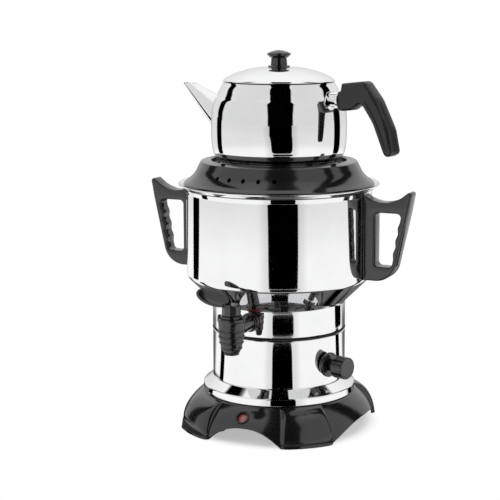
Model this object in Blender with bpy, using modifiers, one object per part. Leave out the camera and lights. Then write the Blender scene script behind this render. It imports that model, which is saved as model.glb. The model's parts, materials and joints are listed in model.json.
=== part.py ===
"""An electric samovar with its teapot, built as an assembly of separate pieces.

Metres, +Z up, the front faces -Y. Everything is modelled round the vertical axis
of the vessels, and one empty then sets that axis behind the origin, so that the
origin is the middle of the footprint, tap included. Angles round the samovar are
counted from the front towards +X.
"""

import math

import bmesh
import bpy
from mathutils import Matrix, Vector

# Shared clearances and fineness
gap = 0.0003
running_gap = 0.0004
overrun = 0.004
merge_distance = 0.00001
smooth_angle = math.radians(35)
large_sides = 32
knob_sides = 20
small_sides = 16
screw_sides = 8
hex_sides = 6
fillet_steps = 2
fillet_limit_share = 0.49

# Radii that several pieces follow
tube_radius = 0.0795
tank_radius = 0.1100
pot_radius = 0.0798

# Base: a flared plastic shell on four sculpted feet, with an arch between each two
base_top = 0.0415
base_rim_reach = 0.0008
base_floor = 0.0012
base_wall_reach = 0.0260
base_wall = 0.0024
base_flange = 0.0026
base_flange_inset = 0.0155
arch_height = 0.0200
arch_half_way_share = 0.81
foot_reach = 0.0300
foot_lip = 0.0022
foot_lip_height = 0.0045
foot_angle = math.radians(40)
front_left_foot_angle = math.radians(36)
foot_half_angle = math.radians(14)
foot_side_angle = math.radians(1.6)
foot_angle_shares = (-1.0, -0.6, 0.0, 0.6, 1.0)
base_row_shares = (0.0, 0.04, 0.14, 0.35, 0.65, 1.0)
wall_steps = 4

# Posts in the base for the rubber feet and the screws
post_radius = 0.0110
post_offset = 0.0055
post_floor = 0.0030
boss_radius = 0.0045
boss_inset = 0.0075
rubber_foot_radius = 0.0100
rubber_foot_stem_radius = 0.0030
rubber_foot_stem = 0.0060

# Bottom plate and its screws
plate_lift = 0.0025
plate_thickness = 0.0020
plate_inset = 0.0040
plate_screw_radius = 0.0015
plate_screw_depth = 0.0090
screw_head_radius = 0.0034
screw_head = 0.0021

# Lower housing: a steel tube that steps out to a ring on the base
steel = 0.0008
housing_height = 0.0757
housing_flange_width = 0.0130
ring_height = 0.0093
ring_step = 0.0117
ring_round = 0.0022
skirt_rise = 0.0090
tube_round = 0.0015
housing_screw_offset = 0.0040
housing_screw_radius = 0.0015
housing_screw_depth = 0.0120

# Gasket in the seam under the tank
gasket = 0.0014
gasket_width = 0.0123
gasket_reach = 0.0004

# Tank: lip, wall, cone and boiler in one steel vessel
tank_steel = 0.0010
boiler_height = 0.0323
cone_height = 0.0300
tank_wall_height = 0.0995
flare_rise = 0.0055
flare_reach = 0.0023
lip_rise = 0.0055
lip_reach = 0.0090
tank_corner = 0.0080
cone_corner = 0.0030
boiler_corner = 0.0030

# Studs that hold the tank on the housing
stud_count = 3
stud_radius = 0.0020
stud_inset = 0.0070
stud_length = 0.0130
stud_nut_width = 0.0035
stud_nut_height = 0.0032

# Heating element in the boiler
element_radius = 0.0036
element_loop_radius = 0.0450
element_lift = 0.0118
element_leg_spread = 0.0140
element_leg_drop = 0.0152
element_turns = 22
element_seal_radius = 0.0080
element_seal = 0.0020
element_nut_width = 0.0075
element_nut_height = 0.0045

# Thermal cut-out under the boiler
cutout_radius = 0.0085
cutout_height = 0.0090
cutout_flange_radius = 0.0120
cutout_flange = 0.0015
cutout_place = 0.0260

# Terminal block on the bottom plate
terminal_length = 0.0360
terminal_width = 0.0180
terminal_height = 0.0130
terminal_place = 0.0220
terminal_ways = 3
terminal_bore = 0.0020

# Pilot lamp in the front of the base
lamp_drop = 0.0105
lamp_lens_radius = 0.0062
lamp_lens = 0.0030
lamp_dome = 0.0012
lamp_dome_share = 0.75
lamp_tube_radius = 0.0074
lamp_flange_radius = 0.0084
lamp_flange = 0.0007
lamp_depth = 0.0150
lamp_recess = 0.0022

# Power inlet in the back of the housing
inlet_lift = 0.0435
inlet_width = 0.0270
inlet_rise = 0.0195
inlet_rim = 0.0030
inlet_flange = 0.0035
inlet_depth = 0.0200
inlet_wall = 0.0024
inlet_cavity_depth = 0.0165
inlet_round = 0.0015
pin_width = 0.0040
pin_thickness = 0.0020
pin_spread = 0.0070
pin_length = 0.0105
pin_tail = 0.0060
earth_pin_rise = 0.0035

# Thermostat on the housing, with its knob
thermostat_angle = math.radians(72)
thermostat_lift = 0.0413
thermostat_width = 0.0320
thermostat_depth = 0.0260
thermostat_inset = 0.0045
thermostat_round = 0.0015
bush_radius = 0.0048
shaft_radius = 0.0030
shaft_sink = 0.0060
bezel_radius = 0.0146
bezel = 0.0016
bezel_round = 0.0010
bush_nut_width = 0.0070
bush_nut_height = 0.0022
knob_radius = 0.0133
knob_gap = 0.0015
knob_hub = 0.0086
knob_hub_radius = 0.0072
knob_length = 0.0157
knob_round = 0.0012
knob_taper = 0.0004
knob_bore_depth = 0.0180

# Tap on the front of the boiler
tap_drop = 0.0125
tap_pipe_length = 0.0515
nozzle_above = 0.0155
nozzle_below = 0.0265
nozzle_belt_below = 0.0100
nozzle_rim_radius = 0.0158
nozzle_waist_radius = 0.0142
nozzle_mouth_radius = 0.0062
nozzle_ribs = 4
nozzle_rib = 0.0005
outlet_radius = 0.0040
chamber_radius = 0.0092
chamber_below = 0.0090
pipe_radius = 0.0086
pipe_bore = 0.0042
pipe_flange_radius = 0.0112
pipe_flange = 0.0030
spigot_radius = 0.0062
spigot_length = 0.0125
tap_washer = 0.0016
tap_washer_radius = 0.0104
tap_nut_width = 0.0100
tap_nut_height = 0.0045
ear_radius = 0.0024
ear_height = 0.0060
bonnet_radius = 0.0122
bonnet = 0.0026
bonnet_round = 0.0008
stem_radius = 0.0040
stem_rise = 0.0080
port_radius = 0.0036

# Lever of the tap
hub_radius = 0.0108
hub_rise = 0.0155
hub_round = 0.0020
paddle_length = 0.0450
paddle_width = 0.0205
paddle_thickness = 0.0070
paddle_middle = 0.0215
paddle_lift = 0.0060
paddle_rise = math.radians(11)
paddle_lean = math.radians(28)
paddle_hollow_share = 0.8
paddle_hollow_lift_share = 0.62

# Side handles of the tank: heights from the lip and the foot of the wall, reaches from the wall
handle_width = 0.0190
handle_spine = 0.0143
handle_top_drop = 0.0082
handle_bottom_lift = 0.0025
horn_out = 0.0593
horn_rise = 0.0012
horn_round = 0.0030
saddle_out = 0.0298
saddle_drop = 0.0192
saddle_steps = 8
grip_top_out = 0.0539
grip_foot_out = 0.0362
grip_round = 0.0260
window_top_inset = 0.0077
window_foot_inset = 0.0012
window_drop = 0.0198
window_lift = 0.0170
window_round = 0.0050
scallops = 3
scallop_depth = 0.0014
scallop_steps = 15
scallop_margin_steps = 2
handle_edge = 0.0020
low_bolt_lift = 0.0160
high_bolt_drop = 0.0148
handle_bolt_radius = 0.0020
handle_bolt_depth = 0.0095
handle_bolt_head_radius = 0.0050
handle_bolt_head = 0.0020

# Neck cover on the tank, which the teapot stands in
cover_height = 0.0275
cover_rim_width = 0.0122
cover_rim_drop = 0.0015
cover_lap = 0.0058
cover_edge_drop = 0.0016
cover_wall = 0.0024
cover_play = 0.0008
cover_spigot_drop = 0.0130
cover_round = 0.0016
cover_hollow_shares = ((0.19, 0.25), (0.34, 0.49), (0.67, 0.725))
recess_play = 0.0030
recess_depth = 0.0065
recess_ledge = 0.0180
vent_count = 5
vent_step = math.radians(10.5)
vent_radius = 0.0024
vent_drop = 0.0150

# Teapot: its side as shares of its radius and its height
pot_steel = 0.0009
pot_height = 0.0974
pot_bottom_inset = 0.0028
pot_corner = 0.0090
pot_side_shares = ((0.972, 0.110), (1.0, 0.325), (0.996, 0.531), (0.956, 0.720), (0.893, 0.823))
pot_neck_inset = 0.0154
pot_neck_drop = 0.0037

# Spout
spout_angle = math.radians(-100)
spout_root_inset = 0.0198
spout_root_lift = 0.0391
spout_root_radius = 0.0248
spout_tip_out = 0.0602
spout_tip_rise = 0.0012
spout_tip_radius = 0.0058
spout_wall = 0.0010
spout_mouth_drop = 0.0062
strainer_radius = 0.0022
strainer_step = 0.0068
strainer_place = 0.0170
strainer_cut = 0.0080

# Teapot handle: its outline as shares of its length, its height and, for corners, its height
pot_handle_angle = math.radians(79)
ferrule_drop = 0.0187
ferrule_radius = 0.0098
ferrule_out = 0.0064
ferrule_root_inset = 0.0154
ferrule_round = 0.0008
pot_handle_length = 0.0740
pot_handle_height = 0.0845
pot_handle_drop = 0.0615
pot_handle_width = 0.0210
pot_handle_edge = 0.0040
pot_handle_shares = (
    (0.000, 0.840, 0.00),
    (0.053, 0.860, 0.01),
    (0.074, 0.960, 0.02),
    (0.473, 1.000, 0.09),
    (0.700, 0.760, 0.45),
    (0.925, 0.372, 0.40),
    (1.000, 0.060, 0.06),
    (0.870, 0.000, 0.06),
    (0.815, 0.070, 0.05),
    (0.630, 0.445, 0.35),
    (0.415, 0.715, 0.08),
    (0.240, 0.605, 0.10),
    (0.080, 0.590, 0.04),
    (0.000, 0.600, 0.00),
)
pot_handle_stud_radius = 0.0020
stud_in_ferrule = 0.0097
stud_in_handle = 0.0168

# Teapot lid and its knob
lid_overlap = 0.0013
lid_edge = 0.0012
lid_rise = 0.0153
lid_dome_shares = ((0.79, 0.49), (0.50, 0.875), (0.23, 1.0))
lid_wall = 0.0009
lid_play = 0.0013
lid_spigot_drop = 0.0082
lid_knob_flange_radius = 0.0129
lid_knob_flange = 0.0012
lid_knob_stem_low_radius = 0.0098
lid_knob_stem_top_radius = 0.0090
lid_knob_stem_rise = 0.0100
lid_knob_cap_radius = 0.0147
lid_knob_crown_share = 0.62
lid_knob_rim_rise = 0.0145
lid_knob_height = 0.0195
lid_knob_round = 0.0016
lid_screw_radius = 0.0020
lid_screw_rise = 0.0095
lid_screw_head_radius = 0.0042
lid_screw_head = 0.0020

# Places round the base and the housing
ring_radius = tube_radius + ring_step
base_rim_radius = ring_radius + base_rim_reach
base_flange_inner_radius = tube_radius - base_flange_inset
post_place = tube_radius + post_offset
boss_place = tube_radius - boss_inset
plate_bottom = arch_height + plate_lift
plate_radius = base_rim_radius - plate_inset
lamp_height = base_top - lamp_drop
tube_inside = tube_radius - steel
skirt_bottom = base_top + ring_height
skirt_top = skirt_bottom + skirt_rise
housing_top = base_top + housing_height
housing_flange_inner_radius = tube_radius - housing_flange_width
housing_screw_place = tube_radius + housing_screw_offset
inlet_height = base_top + inlet_lift
thermostat_height = base_top + thermostat_lift
bezel_top = tube_radius + gap + bezel
knob_start = bezel_top + knob_gap
knob_drum_start = knob_start + knob_hub
knob_end = knob_drum_start + knob_length
seam_bottom = housing_top + gap
seam_top = seam_bottom + gasket
gasket_inner_radius = tube_radius - gasket_width

# Places on the tank and the boiler
tank_floor = seam_top + gap
boiler_floor = tank_floor + tank_steel
boiler_inside = tube_radius - tank_steel
cone_bottom = tank_floor + boiler_height
tank_wall_bottom = cone_bottom + cone_height
neck_height = tank_wall_bottom + tank_wall_height
flare_height = neck_height + flare_rise
flare_radius = tank_radius + flare_reach
lip_height = flare_height + lip_rise
lip_radius = tank_radius + lip_reach
stud_place = tube_radius - stud_inset
element_height = boiler_floor + element_lift
element_leg_bottom = tank_floor - element_leg_drop

# Places on the tap
tap_height = cone_bottom - tap_drop
tap_reach = tube_radius + tap_pipe_length
nozzle_top = tap_height + nozzle_above
nozzle_bottom = tap_height - nozzle_below
nozzle_belt_height = tap_height - nozzle_belt_below
chamber_floor = tap_height - chamber_below
hub_top = nozzle_top + hub_rise
paddle_height = hub_top + paddle_lift

# Places on the side handles
handle_top = lip_height - handle_top_drop
handle_bottom = tank_wall_bottom + handle_bottom_lift
horn_reach = tank_radius + horn_out
horn_height = lip_height + horn_rise
saddle_reach = tank_radius + saddle_out
saddle_height = handle_top - saddle_drop
grip_top_reach = tank_radius + grip_top_out
grip_foot_reach = tank_radius + grip_foot_out
window_top = handle_top - window_drop
window_bottom = handle_bottom + window_lift
window_top_reach = grip_top_reach - window_top_inset
window_bottom_reach = grip_foot_reach - window_foot_inset
handle_bolt_heights = (handle_bottom + low_bolt_lift, handle_top - high_bolt_drop)

# Radii of the teapot's bottom and neck
pot_bottom_radius = pot_radius - pot_bottom_inset
pot_neck_radius = pot_radius - pot_neck_inset

# Places on the neck cover
cover_top = lip_height + cover_height
cover_shoulder_height = cover_top - cover_rim_drop
cover_edge_radius = lip_radius - cover_lap
cover_edge_height = lip_height - cover_edge_drop
cover_spigot_radius = tank_radius - tank_steel - cover_play
cover_spigot_bottom = lip_height - cover_spigot_drop
recess_radius = pot_bottom_radius + recess_play
recess_floor = cover_top - recess_depth
recess_hole_radius = recess_radius - recess_ledge
cover_top_radius = recess_radius + cover_rim_width
vent_height = cover_top - vent_drop

# Places on the teapot, its spout, its handle and its lid
pot_floor = recess_floor + gap
pot_rim_height = pot_floor + pot_height
pot_neck_height = pot_rim_height - pot_neck_drop
spout_root_reach = pot_radius - spout_root_inset
spout_root_height = pot_floor + spout_root_lift
spout_tip_reach = pot_radius + spout_tip_out
spout_tip_height = pot_rim_height + spout_tip_rise
spout_mouth_height = pot_rim_height - spout_mouth_drop
ferrule_height = pot_rim_height - ferrule_drop
ferrule_end = pot_radius + ferrule_out
ferrule_root = pot_radius - ferrule_root_inset
pot_handle_start = ferrule_end + gap
pot_handle_bottom = ferrule_height - pot_handle_drop
pot_handle_stud_start = ferrule_end - stud_in_ferrule
pot_handle_stud_end = ferrule_end + stud_in_handle
lid_seat = pot_rim_height + gap
lid_edge_height = lid_seat + lid_edge
lid_top = lid_edge_height + lid_rise
lid_radius = pot_neck_radius + lid_overlap
lid_spigot_radius = pot_neck_radius - pot_steel - lid_play
lid_spigot_bottom = pot_rim_height - lid_spigot_drop

# The footprint, and the directions round the axis
front_reach = tap_reach + nozzle_rim_radius
back_reach = lip_radius
axis_setback = (front_reach - back_reach) / 2
foot_angles = (foot_angle, math.pi - foot_angle, math.pi + foot_angle,
               math.tau - front_left_foot_angle)
corner_names = ("front_right", "back_right", "back_left", "front_left")
front, right, back, left = 0.0, math.pi / 2, math.pi, math.pi * 3 / 2
up = Vector((0, 0, 1))

# Materials: colour, roughness, metallic
looks = {
    "polished_steel": ((0.78, 0.78, 0.79), 0.12, 1.0),
    "gloss_black": ((0.05, 0.05, 0.055), 0.22, 0.0),
    "matte_black": ((0.045, 0.045, 0.048), 0.5, 0.0),
    "rubber": ((0.03, 0.03, 0.03), 0.8, 0.0),
    "dark_red": ((0.16, 0.02, 0.025), 0.5, 0.0),
    "red_lens": ((0.75, 0.16, 0.16), 0.15, 0.0),
    "brass": ((0.72, 0.55, 0.25), 0.3, 1.0),
    "zinc": ((0.62, 0.63, 0.65), 0.35, 1.0),
    "ceramic": ((0.8, 0.78, 0.72), 0.6, 0.0),
}


def make_material(name):
    """A Principled material from the table of looks."""
    colour, roughness, metallic = looks[name]
    material = bpy.data.materials.new(name)
    material.use_nodes = True
    shader = material.node_tree.nodes["Principled BSDF"]
    shader.inputs["Base Color"].default_value = (*colour, 1)
    shader.inputs["Roughness"].default_value = roughness
    shader.inputs["Metallic"].default_value = metallic
    material.diffuse_color = (*colour, 1)
    return material


def clear_scene():
    """Removes every object that the scene holds."""
    for thing in list(bpy.data.objects):
        bpy.data.objects.remove(thing, do_unlink=True)


def new_object(name, mesh):
    """An object for a mesh, in the collection of parts."""
    thing = bpy.data.objects.new(name, mesh)
    parts.objects.link(thing)
    return thing


def tidy_mesh(mesh):
    """Welds a mesh, turns its faces outwards and shades it smooth between sharp edges."""
    work = bmesh.new()
    work.from_mesh(mesh)
    bmesh.ops.remove_doubles(work, verts=work.verts, dist=merge_distance)
    bmesh.ops.recalc_face_normals(work, faces=work.faces)
    work.to_mesh(mesh)
    work.free()
    mesh.shade_smooth()
    mesh.set_sharp_from_angle(angle=smooth_angle)


def bake(thing):
    """Makes the result of an object's modifiers its own mesh."""
    evaluated = thing.evaluated_get(bpy.context.evaluated_depsgraph_get())
    mesh = bpy.data.meshes.new_from_object(evaluated)
    tidy_mesh(mesh)
    if thing.type == "CURVE":
        solid = new_object(thing.name + "_solid", mesh)
        solid.matrix_world = thing.matrix_world
        name = thing.name
        bpy.data.objects.remove(thing, do_unlink=True)
        solid.name = name
        return solid
    thing.modifiers.clear()
    thing.data = mesh
    return thing


def aim(direction):
    """The shortest turn that takes +Z to a direction."""
    return up.rotation_difference(Vector(direction))


def outward(angle):
    """The level direction away from the axis at an angle round the samovar."""
    return Vector((math.sin(angle), -math.cos(angle), 0))


def place_at(angle, reach, height):
    """The point at a distance from the axis and a height, at an angle round the samovar."""
    return outward(angle) * reach + up * height


def rounded(corners):
    """Points of an outline whose corners (x, y, radius) are replaced by arcs."""
    points = []
    count = len(corners)
    for index in range(count):
        x, y, radius = corners[index]
        here = Vector((x, y))
        if radius <= 0:
            points.append(here)
            continue
        before = Vector(corners[index - 1][:2])
        after = Vector(corners[(index + 1) % count][:2])
        to_before = (before - here).normalized()
        to_after = (after - here).normalized()
        half = math.acos(max(-1, min(1, to_before.dot(to_after)))) / 2
        longest = min((before - here).length, (after - here).length) * fillet_limit_share
        reach = min(radius / math.tan(half), longest)
        start = here + to_before * reach
        end = here + to_after * reach
        for step in range(fillet_steps + 1):
            share = step / fillet_steps
            points.append(start * (1 - share) ** 2 + here * 2 * share * (1 - share) + end * share ** 2)
    return [(point.x, point.y) for point in points]


def turned(name, outline, sides=small_sides, closed=False):
    """A body turned round its own +Z from (radius, height) points that run down its outside."""
    mesh = bpy.data.meshes.new(name)
    points = [(radius, 0, height) for radius, height in outline]
    edges = [(index, index + 1) for index in range(len(points) - 1)]
    if closed:
        edges.append((len(points) - 1, 0))
    mesh.from_pydata(points, edges, [])
    thing = new_object(name, mesh)
    screw = thing.modifiers.new("turn", "SCREW")
    screw.axis = "Z"
    screw.angle = math.tau
    screw.steps = sides
    screw.render_steps = sides
    screw.use_merge_vertices = True
    screw.merge_threshold = merge_distance
    return thing


def turned_solid(name, outline, sides=small_sides, closed=False):
    """A turned body as a plain mesh."""
    return bake(turned(name, outline, sides, closed))


def turned_shell(name, outline, thickness, sides=large_sides):
    """A turned sheet with a wall on the inside of its outline."""
    thing = turned(name, outline, sides)
    wall = thing.modifiers.new("wall", "SOLIDIFY")
    wall.thickness = thickness
    wall.offset = -1
    wall.use_even_offset = True
    return bake(thing)


def cylinder(name, radius, bottom, top, sides=small_sides):
    """A cylinder round its own +Z between two heights."""
    return turned_solid(name, [(0, top), (radius, top), (radius, bottom), (0, bottom)], sides)


def bore(radius, bottom, top, sides=small_sides):
    """A cutter for a round hole, turned by half a side so that no corner meets a seam."""
    tool = cylinder("bore", radius, bottom, top, sides)
    tool.data.transform(Matrix.Rotation(math.pi / sides, 4, "Z"))
    return tool


def tube(name, inner, outer, bottom, top, sides=small_sides):
    """A ring of rectangular section round its own +Z."""
    outline = [(inner, top), (outer, top), (outer, bottom), (inner, bottom)]
    return turned_solid(name, outline, sides, closed=True)


def box(name, size, middle):
    """A box with its faces along the axes."""
    mesh = bpy.data.meshes.new(name)
    work = bmesh.new()
    bmesh.ops.create_cube(work, size=1)
    bmesh.ops.scale(work, verts=work.verts, vec=size)
    bmesh.ops.translate(work, verts=work.verts, vec=middle)
    work.to_mesh(mesh)
    work.free()
    return new_object(name, mesh)


def plate(name, outlines, thickness, edge):
    """A flat piece in its own XY plane, bevelled along its rims; later outlines are holes."""
    curve = bpy.data.curves.new(name, "CURVE")
    curve.dimensions = "2D"
    curve.fill_mode = "BOTH"
    curve.extrude = thickness / 2
    for outline in outlines:
        spline = curve.splines.new("POLY")
        spline.points.add(len(outline) - 1)
        for point, (x, y) in zip(spline.points, outline):
            point.co = (x, y, 0, 1)
        spline.use_cyclic_u = True
    solid = bake(new_object(name, curve))
    soften(solid, edge)
    return solid


def soften(thing, width, segments=2, angle=math.radians(50)):
    """Rounds a piece's sharp edges."""
    bevel = thing.modifiers.new("edges", "BEVEL")
    bevel.width = width
    bevel.segments = segments
    bevel.limit_method = "ANGLE"
    bevel.angle_limit = angle
    return bake(thing)


def boolean(thing, tools, operation):
    """Cuts the tools out of a piece, or joins them to it, and removes the tools."""
    for tool in tools:
        cutters.objects.link(tool)
        parts.objects.unlink(tool)
        tool.hide_render = True
        tool.display_type = "WIRE"
        step = thing.modifiers.new("step", "BOOLEAN")
        step.operation = operation
        step.solver = "EXACT"
        step.object = tool
    bake(thing)
    for tool in tools:
        bpy.data.objects.remove(tool, do_unlink=True)
    return thing


def cut(thing, *tools):
    """Takes the tools' volumes away from a piece."""
    return boolean(thing, tools, "DIFFERENCE")


def join(thing, *tools):
    """Makes one body of a piece and the tools that overlap it."""
    return boolean(thing, tools, "UNION")


def set_at(thing, location, direction=up):
    """Puts a piece at a place, with its own +Z along a direction."""
    thing.location = location
    thing.rotation_mode = "QUATERNION"
    thing.rotation_quaternion = aim(direction)
    return thing


def settle(thing):
    """Writes a piece's place into its mesh."""
    bpy.context.view_layer.update()
    thing.data.transform(thing.matrix_world)
    thing.matrix_world = Matrix.Identity(4)
    return thing


def stand_upright(thing, angle):
    """Stands a flat piece in the upright plane at an angle, with its x as the reach."""
    direction = outward(angle)
    turn = Matrix((direction, up, direction.cross(up))).transposed()
    thing.matrix_world = turn.to_4x4()
    return thing


def hexagon(name, inner, half_width, bottom, top):
    """A hexagon nut round its own +Z."""
    corner = half_width / math.cos(math.pi / hex_sides)
    body = cylinder(name, corner, bottom, top, hex_sides)
    return cut(body, bore(inner, bottom - overrun, top + overrun))


def screw_shape(name, shank_radius, shank_length, head_radius, head_height):
    """A screw that points along +Z, with its head below z = 0."""
    return turned_solid(
        name,
        [(0, shank_length), (shank_radius, shank_length), (shank_radius, 0),
         (head_radius, 0), (head_radius, -head_height), (0, -head_height)],
        screw_sides,
    )


def tank_outline(clearance):
    """The outside of the tank from its lip to the middle of its floor, grown by a clearance."""
    corners = [
        (lip_radius + clearance, lip_height, 0),
        (flare_radius + clearance, flare_height - clearance, 0),
        (tank_radius + clearance, neck_height - clearance, 0),
        (tank_radius + clearance, tank_wall_bottom - clearance, tank_corner),
        (tube_radius + clearance, cone_bottom - clearance, cone_corner),
        (tube_radius + clearance, tank_floor - clearance, boiler_corner),
        (0, tank_floor - clearance, 0),
    ]
    return rounded(corners)


def tank_block(clearance):
    """A solid of the tank's outside for cutting the side handles, with its seam at the back."""
    outline = tank_outline(clearance)
    top = [(0, lip_height + overrun), (lip_radius + clearance, lip_height + overrun)]
    block = turned_solid("tank_block", top + outline, large_sides)
    block.data.transform(Matrix.Rotation(right, 4, "Z"))
    return block


def make_tank():
    """The steel vessel: lip, wall, cone and boiler, with its holes and welded studs."""
    tank = turned_shell("tank", tank_outline(0), tank_steel)
    stud_top = tank_floor + tank_steel / 2
    studs = []
    for place in stud_places():
        stud = cylinder("stud", stud_radius, stud_top - stud_length, stud_top, screw_sides)
        studs.append(set_at(stud, place))
    join(tank, *studs)
    tools = []
    tool = bore(spigot_radius + gap, -overrun, overrun)
    tools.append(set_at(tool, place_at(front, boiler_inside, tap_height), outward(front)))
    for angle in (left, right):
        for height in handle_bolt_heights:
            tool = bore(handle_bolt_radius + gap, -overrun, overrun, screw_sides)
            tools.append(set_at(tool, place_at(angle, tank_radius, height), outward(angle)))
    for side in (-1, 1):
        tool = bore(element_radius + gap, -overrun, overrun)
        tools.append(set_at(tool, element_leg(side, tank_floor)))
    return cut(tank, *tools)


def stud_places():
    """Where the studs stand, as points at height zero."""
    first = right / stud_count
    return [place_at(first + math.tau * index / stud_count, stud_place, 0) for index in range(stud_count)]


def make_stud_nuts():
    """The nuts that clamp the housing to the studs under the tank."""
    nuts = []
    for number, place in enumerate(stud_places(), 1):
        nut = hexagon(f"stud_nut_{number}", stud_radius + gap, stud_nut_width, -stud_nut_height, 0)
        nuts.append(set_at(nut, place + up * (housing_top - steel - gap)))
    return nuts


def stud_holes(bottom, top):
    """Cutters for the studs' holes between two heights."""
    return [set_at(bore(stud_radius + gap, bottom, top, screw_sides), place) for place in stud_places()]


def make_gasket():
    """The black ring in the seam between tank and housing."""
    ring = tube("seam_gasket", gasket_inner_radius, tube_radius + gasket_reach,
                seam_bottom, seam_top, large_sides)
    return cut(ring, *stud_holes(seam_bottom - overrun, seam_top + overrun))


def make_housing():
    """The steel tube under the boiler, with its ring and its holes."""
    band_bottom = base_top + gap
    corners = [
        (housing_flange_inner_radius, housing_top, 0),
        (tube_radius, housing_top, tube_round),
        (tube_radius, skirt_top, 0),
        (ring_radius, skirt_bottom, ring_round),
        (ring_radius, band_bottom, 0),
        (housing_flange_inner_radius, band_bottom, 0),
    ]
    housing = turned_shell("lower_housing", rounded(corners), steel)
    tools = stud_holes(housing_top - overrun, housing_top + overrun)
    for angle in foot_angles:
        tool = bore(housing_screw_radius + gap, -overrun, overrun, screw_sides)
        tools.append(set_at(tool, place_at(angle, housing_screw_place, band_bottom)))
    tool = bore(bush_radius + gap, -overrun, overrun)
    bush_place = place_at(thermostat_angle, tube_inside, thermostat_height)
    tools.append(set_at(tool, bush_place, outward(thermostat_angle)))
    inlet_size = (inlet_width + gap * 2, overrun * 2, inlet_rise + gap * 2)
    tools.append(box("hole", inlet_size, place_at(back, tube_radius, inlet_height)))
    return cut(housing, *tools)


def make_housing_screws():
    """Screws that hold the housing's foot flange on the base's posts."""
    screws = []
    head_seat = base_top + gap + steel + gap
    for corner, angle in zip(corner_names, foot_angles):
        screw = screw_shape("housing_screw_" + corner, housing_screw_radius, housing_screw_depth,
                            screw_head_radius, screw_head)
        screws.append(set_at(screw, place_at(angle, housing_screw_place, head_seat), -up))
    return screws


def foot_share(angle):
    """How much of a foot stands at an angle: 1 on a foot, 0 on the wall between two feet."""
    nearest = min(abs(math.remainder(angle - place, math.tau)) for place in foot_angles)
    share = (foot_half_angle + foot_side_angle - nearest) / foot_side_angle
    return max(0.0, min(1.0, share))


def base_angles():
    """Angles round the base: closer on the feet, even on the walls between them."""
    angles = []
    places = list(foot_angles) + [foot_angles[0] + math.tau]
    for here, after in zip(places, places[1:]):
        side = foot_half_angle + foot_side_angle
        angles.append(here - side)
        angles.extend(here + share * foot_half_angle for share in foot_angle_shares)
        angles.append(here + side)
        span = after - here - side - side
        angles.extend(here + side + span * step / wall_steps for step in range(1, wall_steps))
    return angles


def base_lower_edge(angle):
    """Height of the base's lower edge: the floor on the feet, an arch between them."""
    side = foot_half_angle + foot_side_angle
    places = [foot_angles[-1] - math.tau] + list(foot_angles) + [foot_angles[0] + math.tau]
    angle = angle % math.tau
    for here, after in zip(places, places[1:]):
        if here + side <= angle <= after - side:
            middle = (here + after) / 2
            share = abs(angle - middle) / ((after - here) / 2 - side)
            power = math.log2(1 / (1 - arch_half_way_share))
            return base_floor + (arch_height - base_floor) * (1 - share ** power)
    return base_floor


def base_reach(angle, height):
    """Radius of the base's outside at an angle and a height."""
    share = height / base_top
    wall = base_rim_radius + base_wall_reach * (1 - share ** 2)
    foot = base_rim_radius + foot_reach * math.sqrt(max(0.0, 1 - share ** 2))
    if height < foot_lip_height:
        foot += foot_lip * (1 - height / foot_lip_height)
    mix = foot_share(angle)
    return wall + (foot - wall) * mix


def base_section(angle):
    """The base's section at an angle, as (radius, height) points round its wall and flange."""
    low = base_lower_edge(angle)
    outside = []
    for share in base_row_shares:
        height = base_top + (low - base_top) * share
        outside.append((base_reach(angle, height), height))
    under_flange = base_top - base_flange
    inside = []
    for share in reversed(base_row_shares[1:]):
        height = under_flange + (low - under_flange) * share
        inside.append((base_reach(angle, height) - base_wall, height))
    corner = (base_reach(angle, under_flange) - base_wall - gap, under_flange)
    flange = [corner, (base_flange_inner_radius, under_flange), (base_flange_inner_radius, base_top)]
    return outside + inside + flange


def make_base_shell():
    """The flared base, lofted from section to section, with its posts and bosses."""
    angles = base_angles()
    points = []
    for angle in angles:
        for radius, height in base_section(angle):
            points.append(place_at(angle, radius, height))
    rows = len(base_section(front))
    faces = []
    for column in range(len(angles)):
        here = column * rows
        after = (column + 1) % len(angles) * rows
        for row in range(rows):
            below = (row + 1) % rows
            faces.append((here + row, here + below, after + below, after + row))
    mesh = bpy.data.meshes.new("base_shell")
    mesh.from_pydata(points, [], faces)
    tidy_mesh(mesh)
    shell = new_object("base_shell", mesh)
    inside_flange = base_top - base_flange / 2
    solids = []
    for angle in foot_angles:
        post = cylinder("post", post_radius, post_floor, inside_flange)
        solids.append(set_at(post, place_at(angle, post_place, 0)))
    for angle in (right, left):
        boss = cylinder("boss", boss_radius, plate_bottom + plate_thickness + gap, inside_flange)
        solids.append(set_at(boss, place_at(angle, boss_place, 0)))
    join(shell, *solids)
    return cut(shell, *base_bores())


def base_bores():
    """Cutters for the screw holes, the rubber feet's stems and the pilot lamp."""
    bores = []
    plate_top = plate_bottom + plate_thickness
    for angle in (right, left):
        tool = bore(plate_screw_radius + gap, 0, plate_top + plate_screw_depth + gap, screw_sides)
        bores.append(set_at(tool, place_at(angle, boss_place, 0)))
    for angle in foot_angles:
        bottom = base_top - housing_screw_depth - gap
        tool = bore(housing_screw_radius + gap, bottom, base_top + overrun, screw_sides)
        bores.append(set_at(tool, place_at(angle, housing_screw_place, 0)))
        tool = bore(rubber_foot_stem_radius + gap, 0, post_floor + rubber_foot_stem)
        bores.append(set_at(tool, place_at(angle, post_place, 0)))
    tool = bore(lamp_tube_radius + gap, -lamp_depth, lamp_depth)
    bores.append(set_at(tool, lamp_point(), lamp_direction()))
    return bores


def make_rubber_foot(name, angle):
    """A rubber foot with a stem that plugs into its post."""
    top = post_floor - gap
    foot = turned_solid(
        name,
        [(0, top + rubber_foot_stem - gap), (rubber_foot_stem_radius, top + rubber_foot_stem - gap),
         (rubber_foot_stem_radius, top), (rubber_foot_radius, top), (rubber_foot_radius, 0), (0, 0)],
    )
    return set_at(foot, place_at(angle, post_place, 0))


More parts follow.
